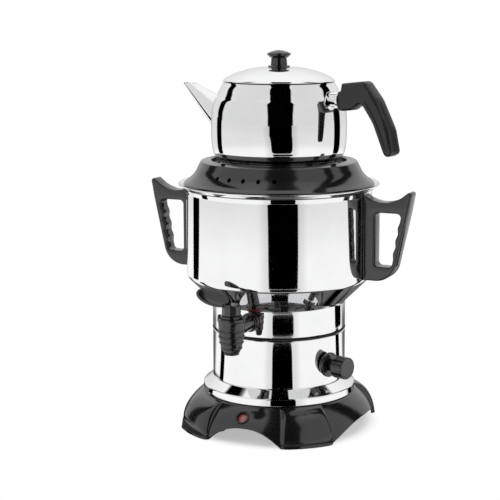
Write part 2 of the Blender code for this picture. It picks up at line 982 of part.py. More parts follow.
def make_bottom_plate():
    """The plate that closes the base from below, notched round the posts."""
    top = plate_bottom + plate_thickness
    body = cylinder("bottom_plate", plate_radius, plate_bottom, top, large_sides)
    tools = []
    for angle in foot_angles:
        tool = bore(post_radius + gap, 0, base_top)
        tools.append(set_at(tool, place_at(angle, post_place, 0)))
    for angle in (right, left):
        tool = bore(plate_screw_radius + gap, 0, base_top, screw_sides)
        tools.append(set_at(tool, place_at(angle, boss_place, 0)))
    return cut(body, *tools)


def make_bottom_screws():
    """Screws that hold the bottom plate to the base's bosses."""
    screws = []
    for side, angle in (("right", right), ("left", left)):
        screw = screw_shape("bottom_screw_" + side, plate_screw_radius, plate_thickness + plate_screw_depth,
                            screw_head_radius, screw_head)
        screws.append(set_at(screw, place_at(angle, boss_place, plate_bottom - gap)))
    return screws


def element_leg(side, height):
    """A point on one leg of the heating element."""
    level = math.sqrt(element_loop_radius ** 2 - element_leg_spread ** 2)
    return Vector((side * element_leg_spread, level, height))


def make_heating_element():
    """The tubular element: a loop in the boiler whose two legs go down through its floor."""
    half_opening = math.asin(element_leg_spread / element_loop_radius)
    route = [element_leg(-1, element_leg_bottom), element_leg(-1, element_height - element_radius * 2)]
    for step in range(element_turns + 1):
        angle = math.pi + half_opening + (math.tau - half_opening * 2) * step / element_turns
        route.append(place_at(angle, element_loop_radius, element_height))
    route.append(element_leg(1, element_height - element_radius * 2))
    route.append(element_leg(1, element_leg_bottom))
    curve = bpy.data.curves.new("heating_element", "CURVE")
    curve.dimensions = "3D"
    curve.bevel_depth = element_radius
    curve.bevel_resolution = 1
    curve.use_fill_caps = True
    spline = curve.splines.new("POLY")
    spline.points.add(len(route) - 1)
    for point, place in zip(spline.points, route):
        point.co = (*place, 1)
    return bake(new_object("heating_element", curve))


def make_element_fixings():
    """The seal over the boiler's floor and the nuts under it, on the element's legs."""
    inner = element_radius + gap
    middle = element_leg(0, boiler_floor + gap + element_seal / 2)
    middle.x = 0
    seal_size = ((element_leg_spread + element_seal_radius) * 2, element_seal_radius * 2, element_seal)
    seal = box("element_seal", seal_size, middle)
    soften(seal, element_seal_radius / 2)
    cut(seal, *(set_at(bore(inner, 0, element_height), element_leg(side, 0)) for side in (-1, 1)))
    nuts = []
    top = tank_floor - gap
    for name, side in (("left", -1), ("right", 1)):
        nut = hexagon("element_nut_" + name, inner, element_nut_width, top - element_nut_height, top)
        nuts.append(set_at(nut, element_leg(side, 0)))
    return seal, nuts


def make_thermal_cutout():
    """The bimetal cut-out that lies against the boiler's floor."""
    top = tank_floor - gap
    body = turned_solid(
        "thermal_cutout",
        [(0, top), (cutout_flange_radius, top), (cutout_flange_radius, top - cutout_flange),
         (cutout_radius, top - cutout_flange), (cutout_radius, top - cutout_height),
         (0, top - cutout_height)],
    )
    return set_at(body, place_at(front, cutout_place, 0))


def make_terminal_block():
    """The block that joins the wires, on the bottom plate."""
    seat = plate_bottom + plate_thickness + gap
    size = (terminal_length, terminal_width, terminal_height)
    block = box("terminal_block", size, place_at(back, terminal_place, seat + terminal_height / 2))
    tools = []
    for way in range(terminal_ways):
        across = terminal_length * ((way + 0.5) / terminal_ways - 0.5)
        tool = bore(terminal_bore, -terminal_width, terminal_width, screw_sides)
        middle = place_at(back, terminal_place, seat + terminal_height / 2)
        tools.append(set_at(tool, middle + Vector((across, 0, 0)), outward(back)))
    return cut(block, *tools)


def lamp_point():
    """The point on the base's front face that the pilot lamp is centred on."""
    return place_at(front, base_reach(front, lamp_height), lamp_height)


def lamp_direction():
    """The outward direction square to the base's front face at the pilot lamp."""
    above = place_at(front, base_reach(front, lamp_height + gap), lamp_height + gap)
    along = (above - lamp_point()).normalized()
    return Vector((1, 0, 0)).cross(along).normalized()


def make_pilot_lamp():
    """The lamp's holder, pushed through the base, and the lens in its mouth."""
    inner = lamp_lens_radius + gap
    holder = turned_solid(
        "pilot_lamp_holder",
        [(0, -lamp_recess - lamp_lens - gap), (inner, -lamp_recess - lamp_lens - gap),
         (inner, lamp_flange + gap), (lamp_flange_radius, lamp_flange + gap),
         (lamp_flange_radius, gap), (lamp_tube_radius, gap), (lamp_tube_radius, -lamp_depth),
         (0, -lamp_depth)],
    )
    set_at(holder, lamp_point(), lamp_direction())
    lens = turned_solid(
        "pilot_lamp_lens",
        [(0, lamp_dome - lamp_recess), (lamp_lens_radius / 2, lamp_dome * lamp_dome_share - lamp_recess),
         (lamp_lens_radius, -lamp_recess), (lamp_lens_radius, -lamp_recess - lamp_lens),
         (0, -lamp_recess - lamp_lens)],
    )
    set_at(lens, lamp_point(), lamp_direction())
    return holder, lens


def make_inlet():
    """The power inlet in the back of the housing: a socket body and its three pins."""
    face = tube_radius + inlet_flange
    body_size = (inlet_width, inlet_depth, inlet_rise)
    body = box("power_inlet", body_size, place_at(back, face - inlet_depth / 2, inlet_height))
    flange_depth = inlet_flange * 2
    flange_size = (inlet_width + inlet_rim * 2, flange_depth, inlet_rise + inlet_rim * 2)
    flange = box("flange", flange_size, place_at(back, face - flange_depth / 2, inlet_height))
    soften(flange, inlet_round)
    inner = cylinder("inner", tube_radius + gap, inlet_height - inlet_rise * 2,
                     inlet_height + inlet_rise * 2, large_sides)
    cut(flange, inner)
    join(body, flange)
    cavity_size = (inlet_width - inlet_wall * 2, inlet_cavity_depth * 2, inlet_rise - inlet_wall * 2)
    tools = [box("cavity", cavity_size, place_at(back, face, inlet_height))]
    pins = []
    cavity_floor = face - inlet_cavity_depth
    body_back = face - inlet_depth
    for wire, across, rise in (("live", -pin_spread, 0), ("earth", 0, earth_pin_rise),
                               ("neutral", pin_spread, 0)):
        length = pin_length + inlet_depth - inlet_cavity_depth + pin_tail
        middle = body_back - pin_tail + length / 2
        place = place_at(back, middle, inlet_height + rise) + Vector((across, 0, 0))
        pins.append(box("inlet_pin_" + wire, (pin_thickness, length, pin_width), place))
        slot_size = (pin_thickness + gap * 2, length, pin_width + gap * 2)
        slot_place = place_at(back, cavity_floor, inlet_height + rise) + Vector((across, 0, 0))
        tools.append(box("slot", slot_size, slot_place))
    cut(body, *tools)
    return body, pins


def make_thermostat():
    """The thermostat behind the housing's wall, its nut, and the bezel under the knob."""
    direction = outward(thermostat_angle)
    foot = place_at(thermostat_angle, 0, thermostat_height)
    corner = math.sqrt(tube_inside ** 2 - (thermostat_width / 2) ** 2) - thermostat_inset
    body = box("thermostat_body", (thermostat_width, thermostat_width, thermostat_depth),
               (0, 0, corner - thermostat_depth / 2))
    soften(body, thermostat_round)
    bush_end = bezel_top + gap
    join(body, cylinder("bush", bush_radius, corner - thermostat_depth / 2, bush_end))
    cut(body, bore(shaft_radius + running_gap, corner - shaft_sink - gap, bush_end + overrun))
    set_at(body, foot, direction)
    nut = hexagon("thermostat_nut", bush_radius + gap, bush_nut_width,
                  tube_inside_flat() - bush_nut_height, tube_inside_flat())
    set_at(nut, foot, direction)
    ring = turned_solid(
        "thermostat_bezel",
        rounded([(bush_radius + gap, bezel_top, 0), (bezel_radius, bezel_top, bezel_round),
                 (bezel_radius, tube_radius - overrun, 0), (bush_radius + gap, tube_radius - overrun, 0)]),
        closed=True,
    )
    set_at(ring, foot, direction)
    cut(ring, cylinder("wall", tube_radius + gap, 0, housing_top, large_sides))
    shaft = cylinder("thermostat_shaft", shaft_radius, corner - shaft_sink,
                     knob_start + knob_bore_depth - gap)
    set_at(shaft, foot, direction)
    return body, nut, ring, shaft


def tube_inside_flat():
    """How far from the axis a nut's outer face lies flat inside the housing."""
    corner = bush_nut_width / math.cos(math.pi / hex_sides)
    facet = tube_inside * math.cos(math.pi / large_sides)
    return math.sqrt(facet ** 2 - corner ** 2) - gap


def make_thermostat_knob():
    """The thermostat's knob: a plain drum on a narrower hub, with a blind bore for the shaft."""
    foot = place_at(thermostat_angle, 0, thermostat_height)
    knob = turned_solid(
        "thermostat_knob",
        rounded([
            (0, knob_end, 0),
            (knob_radius - knob_taper, knob_end, knob_round),
            (knob_radius, knob_drum_start, knob_taper),
            (knob_hub_radius, knob_drum_start, 0),
            (knob_hub_radius, knob_start, knob_taper),
            (shaft_radius + gap, knob_start, 0),
            (shaft_radius + gap, knob_start + knob_bore_depth, 0),
            (0, knob_start + knob_bore_depth, 0),
        ]),
        knob_sides,
    )
    return set_at(knob, foot, outward(thermostat_angle))


def nozzle_outline():
    """The outside of the tap's upright part, with its ribs, from the rim down."""
    points = [(nozzle_rim_radius, nozzle_top), (nozzle_rim_radius, nozzle_top - ear_height / 2),
              (nozzle_waist_radius, nozzle_belt_height)]
    drop = (nozzle_belt_height - nozzle_bottom) / nozzle_ribs
    shrink = nozzle_waist_radius - nozzle_mouth_radius
    for rib in range(1, nozzle_ribs + 1):
        share = rib / nozzle_ribs
        radius = nozzle_mouth_radius + shrink * math.sqrt(1 - share ** 2)
        height = nozzle_belt_height - drop * rib
        points.append((radius + nozzle_rib, height + nozzle_rib))
        points.append((radius, height))
    return points


def make_tap_body():
    """The tap's body: an upright nozzle and the pipe that leads to it from the boiler."""
    body = turned_solid("tap_body", [(0, nozzle_top)] + nozzle_outline() + [(0, nozzle_bottom)],
                        knob_sides)
    set_at(body, place_at(front, tap_reach, 0))
    seat = tube_radius + gap + tap_washer + gap
    pipe = turned_solid(
        "pipe",
        [(0, tap_reach), (pipe_radius, tap_reach), (pipe_radius, seat + pipe_flange),
         (pipe_flange_radius, seat + pipe_flange), (pipe_flange_radius, seat),
         (spigot_radius, seat), (spigot_radius, boiler_inside - spigot_length),
         (0, boiler_inside - spigot_length)],
    )
    set_at(pipe, place_at(front, 0, tap_height), outward(front))
    ears = []
    for side in (-1, 1):
        ear = cylinder("ear", ear_radius, nozzle_top - ear_height / 2, nozzle_top + ear_radius, screw_sides)
        offset = Vector((side * (nozzle_rim_radius - ear_radius / 2), 0, 0))
        ears.append(set_at(ear, place_at(front, tap_reach, 0) + offset))
    join(body, pipe, *ears)
    chamber = cylinder("chamber", chamber_radius, chamber_floor, nozzle_top + overrun)
    set_at(chamber, place_at(front, tap_reach, 0))
    outlet = cylinder("outlet", outlet_radius, nozzle_bottom - overrun, chamber_floor + overrun)
    set_at(outlet, place_at(front, tap_reach, 0))
    channel = cylinder("channel", pipe_bore, 0, tap_reach)
    set_at(channel, place_at(front, 0, tap_height), outward(front))
    return cut(body, chamber, outlet, channel)


def make_tap_fixings():
    """The red washer outside the boiler, and the washer and nut inside it."""
    foot = place_at(front, 0, tap_height)
    inner = spigot_radius + gap
    washer_outside = tube_radius + gap + tap_washer
    washer = tube("tap_washer", inner, tap_washer_radius, tube_radius - overrun, washer_outside)
    set_at(washer, foot, outward(front))
    cut(washer, cylinder("wall", tube_radius + gap, 0, cone_bottom, large_sides))
    facet = boiler_inside * math.cos(math.pi / large_sides)
    flat = math.sqrt(facet ** 2 - tap_washer_radius ** 2)
    inner_washer = tube("tap_inner_washer", inner, tap_washer_radius, flat - tap_washer, boiler_inside)
    set_at(inner_washer, foot, outward(front))
    shell = tube("shell", boiler_inside - gap, lip_radius, 0, cone_bottom, large_sides)
    cut(inner_washer, shell)
    nut = hexagon("tap_nut", inner, tap_nut_width, flat - tap_washer - gap - tap_nut_height,
                  flat - tap_washer - gap)
    set_at(nut, foot, outward(front))
    return washer, inner_washer, nut


def make_tap_bonnet():
    """The ring that closes the tap's chamber round the plug's stem."""
    bottom = nozzle_top + gap
    outline = rounded([
        (stem_radius + running_gap, bottom + bonnet, 0),
        (bonnet_radius, bottom + bonnet, bonnet_round),
        (bonnet_radius, bottom, 0),
        (stem_radius + running_gap, bottom, 0),
    ])
    ring = turned_solid("tap_bonnet", outline, closed=True)
    return set_at(ring, place_at(front, tap_reach, 0))


def make_tap_plug():
    """The plug that turns in the chamber: a cup with one side port, on a stem."""
    radius = chamber_radius - running_gap
    bottom = chamber_floor + gap
    shoulder = nozzle_top
    plug = turned_solid(
        "tap_plug",
        [(0, shoulder + stem_rise), (stem_radius, shoulder + stem_rise), (stem_radius, shoulder),
         (radius, shoulder), (radius, bottom), (0, bottom)],
    )
    well = cylinder("well", outlet_radius, bottom - overrun, tap_height)
    port = cylinder("port", port_radius, 0, chamber_radius + overrun)
    set_at(port, up * tap_height, outward(left))
    cut(plug, well, port)
    return set_at(plug, place_at(front, tap_reach, 0))


def make_tap_lever():
    """The lever: a hub on the plug's stem and a hollowed oval paddle to the left."""
    seat = nozzle_top + gap + bonnet + gap
    hub = turned_solid("tap_lever", rounded([
        (0, hub_top, 0), (hub_radius, hub_top, hub_round), (hub_radius, seat, 0), (0, seat, 0)]))
    paddle = ellipsoid("paddle", (paddle_length / 2, paddle_width / 2, paddle_thickness / 2))
    hollow_size = (paddle_length / 2 * paddle_hollow_share, paddle_width / 2 * paddle_hollow_share,
                   paddle_thickness / 2)
    hollow = ellipsoid("hollow", hollow_size)
    hollow.location = (0, 0, paddle_thickness * paddle_hollow_lift_share)
    cut(paddle, hollow)
    lean = Matrix.Rotation(math.pi / 2 - paddle_lean, 4, "X")
    rise = Matrix.Rotation(paddle_rise, 4, "Y")
    place = Matrix.Translation((-paddle_middle, 0, paddle_height))
    paddle.matrix_world = place @ rise @ lean
    settle(paddle)
    join(hub, paddle)
    cut(hub, bore(stem_radius + gap, seat - overrun, nozzle_top + stem_rise + gap))
    return set_at(hub, place_at(front, tap_reach, 0))


def ellipsoid(name, half_sizes):
    """An ellipsoid with its axes along the object's own."""
    mesh = bpy.data.meshes.new(name)
    work = bmesh.new()
    bmesh.ops.create_uvsphere(work, u_segments=small_sides, v_segments=screw_sides, radius=1)
    bmesh.ops.scale(work, verts=work.verts, vec=half_sizes)
    work.to_mesh(mesh)
    work.free()
    tidy_mesh(mesh)
    return new_object(name, mesh)


def saddle_line():
    """The hollow top edge of a side handle, from its horn to the tank."""
    tip = Vector((horn_reach, horn_height))
    low = Vector((saddle_reach, saddle_height))
    end = Vector((tank_radius, handle_top))
    points = []
    for step in range(1, saddle_steps + 1):
        share = step / saddle_steps
        point = tip * (1 - share) ** 2 + low * 2 * share * (1 - share) + end * share ** 2
        points.append((point.x, point.y, 0))
    return points


def window_outline():
    """The grip hole of a side handle, with finger scallops on its outer side."""
    inner = tank_radius + handle_spine
    start = Vector((window_bottom_reach, window_bottom))
    end = Vector((window_top_reach, window_top))
    corners = [(inner, window_top, window_round), (inner, window_bottom, window_round),
               (window_bottom_reach, window_bottom, window_round)]
    for step in range(scallop_margin_steps, scallop_steps - scallop_margin_steps + 1):
        share = step / scallop_steps
        wave = scallop_depth * (math.cos(share * scallops * math.tau) - 1) / 2
        point = start.lerp(end, share)
        corners.append((point.x + wave, point.y, 0))
    corners.append((window_top_reach, window_top, window_round))
    return rounded(corners)


def make_side_handle(name, angle):
    """A side handle: a plate with a horn, a grip hole and a spine bolted to the tank."""
    corners = [(horn_reach, horn_height, horn_round)] + saddle_line()
    corners += [
        (tank_radius - overrun, handle_top, 0),
        (tank_radius - overrun, handle_bottom, 0),
        (grip_foot_reach, handle_bottom, grip_round),
        (grip_top_reach, window_top, grip_round),
    ]
    handle = plate(name, [rounded(corners), window_outline()], handle_width, handle_edge)
    stand_upright(handle, angle)
    tools = [tank_block(gap)]
    for height in handle_bolt_heights:
        end = tank_radius + handle_bolt_depth + gap
        tool = bore(handle_bolt_radius + gap, 0, end, screw_sides)
        tools.append(set_at(tool, place_at(angle, 0, height), outward(angle)))
    return cut(handle, *tools)


def make_handle_bolts():
    """Bolts from inside the tank into the side handles."""
    bolts = []
    head_seat = math.sqrt((tank_radius - tank_steel) ** 2 - handle_bolt_head_radius ** 2)
    head_seat = head_seat * math.cos(math.pi / large_sides) - gap
    length = tank_radius + handle_bolt_depth - head_seat
    for side, angle in (("right", right), ("left", left)):
        for level, height in zip(("low", "high"), handle_bolt_heights):
            bolt = screw_shape(f"handle_bolt_{side}_{level}", handle_bolt_radius, length,
                               handle_bolt_head_radius, handle_bolt_head)
            bolts.append(set_at(bolt, place_at(angle, head_seat, height), outward(angle)))
    return bolts


def make_neck_cover():
    """The flared black cover in the tank's mouth, with the recess that the teapot stands in."""
    slope = math.atan2(lip_height - flare_height, lip_radius - flare_radius)
    reach = tank_steel + gap + gap
    seat_radius = flare_radius - math.sin(slope) * reach
    seat_height = flare_height + math.cos(slope) * reach
    edge_seat = seat_height + (cover_edge_radius - seat_radius) * math.tan(slope)
    wall = cover_wall
    across = cover_edge_radius - cover_top_radius
    down = cover_shoulder_height - cover_edge_height
    hollow = []
    for across_share, down_share in cover_hollow_shares:
        point = (cover_top_radius + across * across_share, cover_shoulder_height - down * down_share)
        hollow.append(point)
    corners = [
        (recess_radius, cover_top, cover_round / 2),
        (cover_top_radius, cover_shoulder_height, cover_round),
    ]
    corners += [(radius, height, 0) for radius, height in hollow]
    corners += [
        (cover_edge_radius, cover_edge_height, 0),
        (cover_edge_radius, edge_seat, 0),
        (seat_radius, seat_height, 0),
        (cover_spigot_radius, seat_height, 0),
        (cover_spigot_radius, cover_spigot_bottom, 0),
        (cover_spigot_radius - wall, cover_spigot_bottom, 0),
        (cover_spigot_radius - wall, cover_edge_height, 0),
    ]
    corners += [(radius - wall, height - wall / 2, 0) for radius, height in reversed(hollow)]
    corners += [
        (cover_top_radius - wall, cover_shoulder_height - wall, 0),
        (recess_radius + wall, cover_top - wall, 0),
        (recess_radius + wall, recess_floor - wall, 0),
        (recess_hole_radius, recess_floor - wall, 0),
        (recess_hole_radius, recess_floor, 0),
        (recess_radius, recess_floor, 0),
    ]
    cover = turned_solid("neck_cover", rounded(corners), large_sides, closed=True)
    vents = []
    for index in range(vent_count):
        angle = vent_step * (index - (vent_count - 1) / 2)
        tool = bore(vent_radius, cover_top_radius - overrun, lip_radius, screw_sides)
        vents.append(set_at(tool, place_at(angle, 0, vent_height), outward(angle)))
    return cut(cover, *vents)


def pot_outline(clearance):
    """The outside of the teapot from its rim to the middle of its bottom, grown by a clearance."""
    bottom = pot_floor - clearance
    corners = [(pot_neck_radius + clearance, pot_rim_height, 0),
               (pot_neck_radius + clearance, pot_neck_height, pot_steel)]
    for radius_share, height_share in reversed(pot_side_shares):
        radius = pot_radius * radius_share + clearance
        corners.append((radius, pot_floor + pot_height * height_share, 0))
    corners += [(pot_bottom_radius + clearance, bottom, pot_corner), (0, bottom, 0)]
    return rounded(corners)


def pot_block(clearance):
    """A solid of the teapot's outside, for cutting what is welded to it."""
    outline = pot_outline(clearance)
    return turned_solid("pot_block", [(0, pot_rim_height)] + outline, large_sides)


def spout_axis():
    """The start, the direction and the length of the spout."""
    start = place_at(spout_angle, spout_root_reach, spout_root_height)
    end = place_at(spout_angle, spout_tip_reach, spout_tip_height)
    return start, (end - start).normalized(), (end - start).length


def strainer_holes():
    """Cutters for the strainer in the teapot's wall behind the spout."""
    start, direction, _ = spout_axis()
    across = up.cross(direction).normalized()
    above = direction.cross(across)
    middle = start + direction * strainer_place
    holes = []
    for index in range(hex_sides + 1):
        turn = math.tau * index / hex_sides
        offset = across * math.cos(turn) + above * math.sin(turn)
        if index == hex_sides:
            offset = Vector()
        tool = bore(strainer_radius, -strainer_cut, strainer_cut, screw_sides)
        holes.append(set_at(tool, middle + offset * strainer_step, direction))
    return holes


def make_teapot():
    """The teapot's steel body, with the strainer holes behind the spout."""
    body = turned_shell("teapot_body", pot_outline(0), pot_steel)
    return cut(body, *strainer_holes())


def make_spout():
    """A straight tapering spout, cut to the teapot's wall and level at its mouth."""
    start, direction, length = spout_axis()
    outer = [(spout_tip_radius, length), (spout_root_radius, 0)]
    inner = [(spout_root_radius - spout_wall, 0), (spout_tip_radius - spout_wall, length)]
    spout = turned_solid("teapot_spout", outer + inner, closed=True)
    set_at(spout, start, direction)
    above_size = (spout_tip_reach, spout_tip_reach, pot_height)
    above_place = place_at(spout_angle, spout_tip_reach, spout_mouth_height + pot_height / 2)
    return cut(spout, pot_block(gap), box("above", above_size, above_place))


def make_pot_handle():
    """The steel ferrule on the teapot, the black handle, and the stud that joins them."""
    direction = outward(pot_handle_angle)
    foot = place_at(pot_handle_angle, 0, ferrule_height)
    ferrule = turned_solid("handle_ferrule", rounded([
        (0, pot_handle_stud_start - gap, 0),
        (pot_handle_stud_radius + gap, pot_handle_stud_start - gap, 0),
        (pot_handle_stud_radius + gap, ferrule_end, 0),
        (ferrule_radius, ferrule_end, ferrule_round),
        (ferrule_radius, ferrule_root, 0),
        (0, ferrule_root, 0),
    ]))
    set_at(ferrule, foot, direction)
    cut(ferrule, pot_block(gap))
    stud = cylinder("handle_stud", pot_handle_stud_radius, pot_handle_stud_start,
                    pot_handle_stud_end, screw_sides)
    set_at(stud, foot, direction)
    corners = []
    for length_share, height_share, corner_share in pot_handle_shares:
        corners.append((pot_handle_start + pot_handle_length * length_share,
                        pot_handle_bottom + pot_handle_height * height_share,
                        pot_handle_height * corner_share))
    handle = plate("teapot_handle", [rounded(corners)], pot_handle_width, pot_handle_edge)
    stand_upright(handle, pot_handle_angle)
    tool = bore(pot_handle_stud_radius + gap, ferrule_end - overrun, pot_handle_stud_end + gap, screw_sides)
    cut(handle, set_at(tool, foot, direction))
    return ferrule, stud, handle


def make_lid():
    """The domed lid, with a spigot that goes down into the teapot's neck."""
    hole = lid_screw_radius + gap
    dome = []
    for radius_share, rise_share in lid_dome_shares:
        dome.append((lid_radius * radius_share, lid_edge_height + lid_rise * rise_share))
    outline = [(hole, lid_top)] + list(reversed(dome))
    outline += [
        (lid_radius, lid_edge_height),
        (lid_radius, lid_seat),
        (lid_spigot_radius, lid_seat),
        (lid_spigot_radius, lid_spigot_bottom),
        (lid_spigot_radius - lid_wall, lid_spigot_bottom),
        (lid_spigot_radius - lid_wall, lid_seat),
    ]
    outline += [(radius, height - lid_wall) for radius, height in dome]
    outline += [(hole, lid_top - lid_wall)]
    return turned_solid("teapot_lid", outline, large_sides, closed=True)


def make_lid_knob():
    """The lid's knob and the screw that holds it from inside the lid."""
    seat = lid_top + gap
    knob_top = lid_top + lid_knob_height
    bore_top = seat + lid_screw_rise
    knob = turned_solid("lid_knob", rounded([
        (0, knob_top, 0),
        (lid_knob_cap_radius * lid_knob_crown_share, knob_top, lid_knob_round),
        (lid_knob_cap_radius, lid_top + lid_knob_rim_rise, lid_knob_round),
        (lid_knob_stem_top_radius, lid_top + lid_knob_stem_rise, lid_knob_round),
        (lid_knob_stem_low_radius, seat + lid_knob_flange * 2, lid_knob_round),
        (lid_knob_flange_radius, seat + lid_knob_flange, 0),
        (lid_knob_flange_radius, seat, 0),
        (lid_screw_radius + gap, seat, 0),
        (lid_screw_radius + gap, bore_top, 0),
        (0, bore_top, 0),
    ]), knob_sides)
    head_seat = lid_top - lid_wall - gap
    screw = screw_shape("knob_screw", lid_screw_radius, bore_top - gap - head_seat,
                        lid_screw_head_radius, lid_screw_head)
    set_at(screw, up * head_seat)
    return knob, screw


def new_frame(name, location, parent=None):
    """An empty that carries the pieces of one body."""
    frame = bpy.data.objects.new(name, None)
    parts.objects.link(frame)
    frame.location = location
    frame.parent = parent
    return frame


def carry(frame, origin, material, *pieces):
    """Hangs pieces on a frame whose place from the axis is given, and gives them a material."""
    for piece in pieces:
        piece.parent = frame
        piece.matrix_parent_inverse = Matrix.Translation(-origin)
        piece.data.materials.clear()
        piece.data.materials.append(materials[material])


clear_scene()
parts = bpy.data.collections.new("samovar")
cutters = bpy.data.collections.new("cutters")
bpy.context.scene.collection.children.link(parts)
bpy.context.scene.collection.children.link(cutters)
materials = {name: make_material(name) for name in looks}

here = Vector()
lever_place = place_at(front, tap_reach, 0)
knob_place = place_at(thermostat_angle, 0, thermostat_height)
samovar = new_frame("samovar_frame", (0, axis_setback, 0))
lever_frame = new_frame("tap_lever_frame", lever_place, samovar)
knob_frame = new_frame("thermostat_knob_frame", knob_place, samovar)
cover_frame = new_frame("cover_frame", here, samovar)
teapot_frame = new_frame("teapot_frame", here, cover_frame)
lid_frame = new_frame("lid_frame", here, teapot_frame)

# Base and housing
carry(samovar, here, "gloss_black", make_base_shell())
for corner_name, corner_angle in zip(corner_names, foot_angles):
    carry(samovar, here, "rubber", make_rubber_foot("rubber_foot_" + corner_name, corner_angle))
carry(samovar, here, "matte_black", make_bottom_plate())
carry(samovar, here, "zinc", *make_bottom_screws(), *make_housing_screws())
carry(samovar, here, "polished_steel", make_housing())
lamp_holder, lamp_lens_piece = make_pilot_lamp()
carry(samovar, here, "matte_black", lamp_holder)
carry(samovar, here, "red_lens", lamp_lens_piece)
inlet_body, inlet_pins = make_inlet()
carry(samovar, here, "matte_black", inlet_body)
carry(samovar, here, "zinc", *inlet_pins)
carry(samovar, here, "ceramic", make_terminal_block())

# Tank and what is in and under it
carry(samovar, here, "rubber", make_gasket())
carry(samovar, here, "polished_steel", make_tank())
carry(samovar, here, "zinc", *make_stud_nuts())
carry(samovar, here, "zinc", make_heating_element())
element_seal_piece, element_nuts = make_element_fixings()
carry(samovar, here, "rubber", element_seal_piece)
carry(samovar, here, "brass", *element_nuts)
carry(samovar, here, "ceramic", make_thermal_cutout())
carry(samovar, here, "gloss_black", make_side_handle("side_handle_right", right))
carry(samovar, here, "gloss_black", make_side_handle("side_handle_left", left))
carry(samovar, here, "zinc", *make_handle_bolts())

# Thermostat
thermostat, thermostat_nut, thermostat_bezel, thermostat_shaft = make_thermostat()
carry(samovar, here, "ceramic", thermostat)
carry(samovar, here, "zinc", thermostat_nut)
carry(samovar, here, "gloss_black", thermostat_bezel)
carry(knob_frame, knob_place, "zinc", thermostat_shaft)
carry(knob_frame, knob_place, "gloss_black", make_thermostat_knob())

# Tap
outer_washer, inner_washer, tap_nut = make_tap_fixings()
carry(samovar, here, "gloss_black", make_tap_body(), make_tap_bonnet())
carry(samovar, here, "dark_red", outer_washer)
carry(samovar, here, "rubber", inner_washer)
carry(samovar, here, "brass", tap_nut)
carry(lever_frame, lever_place, "gloss_black", make_tap_lever())
carry(lever_frame, lever_place, "brass", make_tap_plug())

# Cover, teapot and lid
carry(cover_frame, here, "gloss_black", make_neck_cover())
carry(teapot_frame, here, "polished_steel", make_teapot(), make_spout())
ferrule, handle_stud, pot_handle = make_pot_handle()
carry(teapot_frame, here, "polished_steel", ferrule)
carry(teapot_frame, here, "zinc", handle_stud)
carry(teapot_frame, here, "matte_black", pot_handle)
carry(lid_frame, here, "polished_steel", make_lid())
lid_knob, knob_screw = make_lid_knob()
carry(lid_frame, here, "gloss_black", lid_knob)
carry(lid_frame, here, "zinc", knob_screw)
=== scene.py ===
"""The samovar and its teapot, dressed for the picture: polished steel, black plastic and a red lamp.

Metres, +Z up, the front faces -Y. Each piece is shaped round the upright axis of the vessels and
then moved back to it, so that the finished mesh lies where its solid lies.
"""

import json
import math

import bmesh
import bpy
from mathutils import Matrix, Vector


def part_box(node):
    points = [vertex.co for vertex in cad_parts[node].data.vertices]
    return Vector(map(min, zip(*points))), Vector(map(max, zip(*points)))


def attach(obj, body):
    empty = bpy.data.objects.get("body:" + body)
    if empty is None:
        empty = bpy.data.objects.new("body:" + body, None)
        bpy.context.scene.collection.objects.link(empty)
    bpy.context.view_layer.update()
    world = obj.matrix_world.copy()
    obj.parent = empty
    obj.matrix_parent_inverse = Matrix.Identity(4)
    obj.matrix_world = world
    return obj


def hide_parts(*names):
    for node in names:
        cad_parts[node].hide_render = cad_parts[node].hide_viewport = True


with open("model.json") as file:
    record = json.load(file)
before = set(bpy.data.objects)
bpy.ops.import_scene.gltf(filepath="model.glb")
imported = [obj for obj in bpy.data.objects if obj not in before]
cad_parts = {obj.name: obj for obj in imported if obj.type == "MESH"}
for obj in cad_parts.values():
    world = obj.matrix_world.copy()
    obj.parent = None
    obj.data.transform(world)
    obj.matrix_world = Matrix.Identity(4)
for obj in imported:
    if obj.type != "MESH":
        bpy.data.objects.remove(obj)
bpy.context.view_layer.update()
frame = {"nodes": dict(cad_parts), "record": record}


def middle(node):
    """The middle of a solid's box."""
    low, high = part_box(node)
    return (Vector(low) + Vector(high)) / 2


def height_of(node):
    """The lowest and the highest point of a solid."""
    low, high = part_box(node)
    return low[2], high[2]


def radius_of(node):
    """Half the width of a solid that is round about the samovar's axis."""
    low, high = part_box(node)
    return (high[0] - low[0]) / 2


# Fineness and clearances
gap = 0.0003
fine_sides = 144
part_sides = 64
small_sides = 40
arc_steps = 6
few_steps = 4
sharp_angle = math.radians(32)
nearly_upright = 0.999
merge_distance = 0.000005
long_stretch = 0.0040
stretch_end = 0.0003

# The axis, and the main radii and heights, read from the solids
axis = Vector((0, middle("teapot_lid").y, 0))
tank_floor = height_of("seam_gasket")[1] + gap
housing_bottom, housing_top = height_of("lower_housing")
pot_floor, pot_rim = height_of("teapot_body")
cover_low, cover_top = height_of("neck_cover")
base_floor, base_top = height_of("base_shell")
pot_radius = radius_of("teapot_body")
ring_radius = radius_of("lower_housing")
lid_radius = radius_of("teapot_lid")
cover_radius = radius_of("neck_cover")

# Tank
tube_radius = 0.0795
tank_radius = 0.1100
tank_steel = 0.0010
boiler_height = 0.0323
cone_height = 0.0300
tank_wall_height = 0.0995
flare_rise = 0.0055
flare_reach = 0.0023
tank_corner = 0.0080
cone_corner = 0.0030
boiler_corner = 0.0025
lip_bead = 0.0009
lip_rise = 0.0055
lip_reach = 0.0090

# Places on the tank
cone_bottom = tank_floor + boiler_height
tank_wall_bottom = cone_bottom + cone_height
neck_height = tank_wall_bottom + tank_wall_height
flare_height = neck_height + flare_rise
lip_height = flare_height + lip_rise
lip_radius = tank_radius + lip_reach

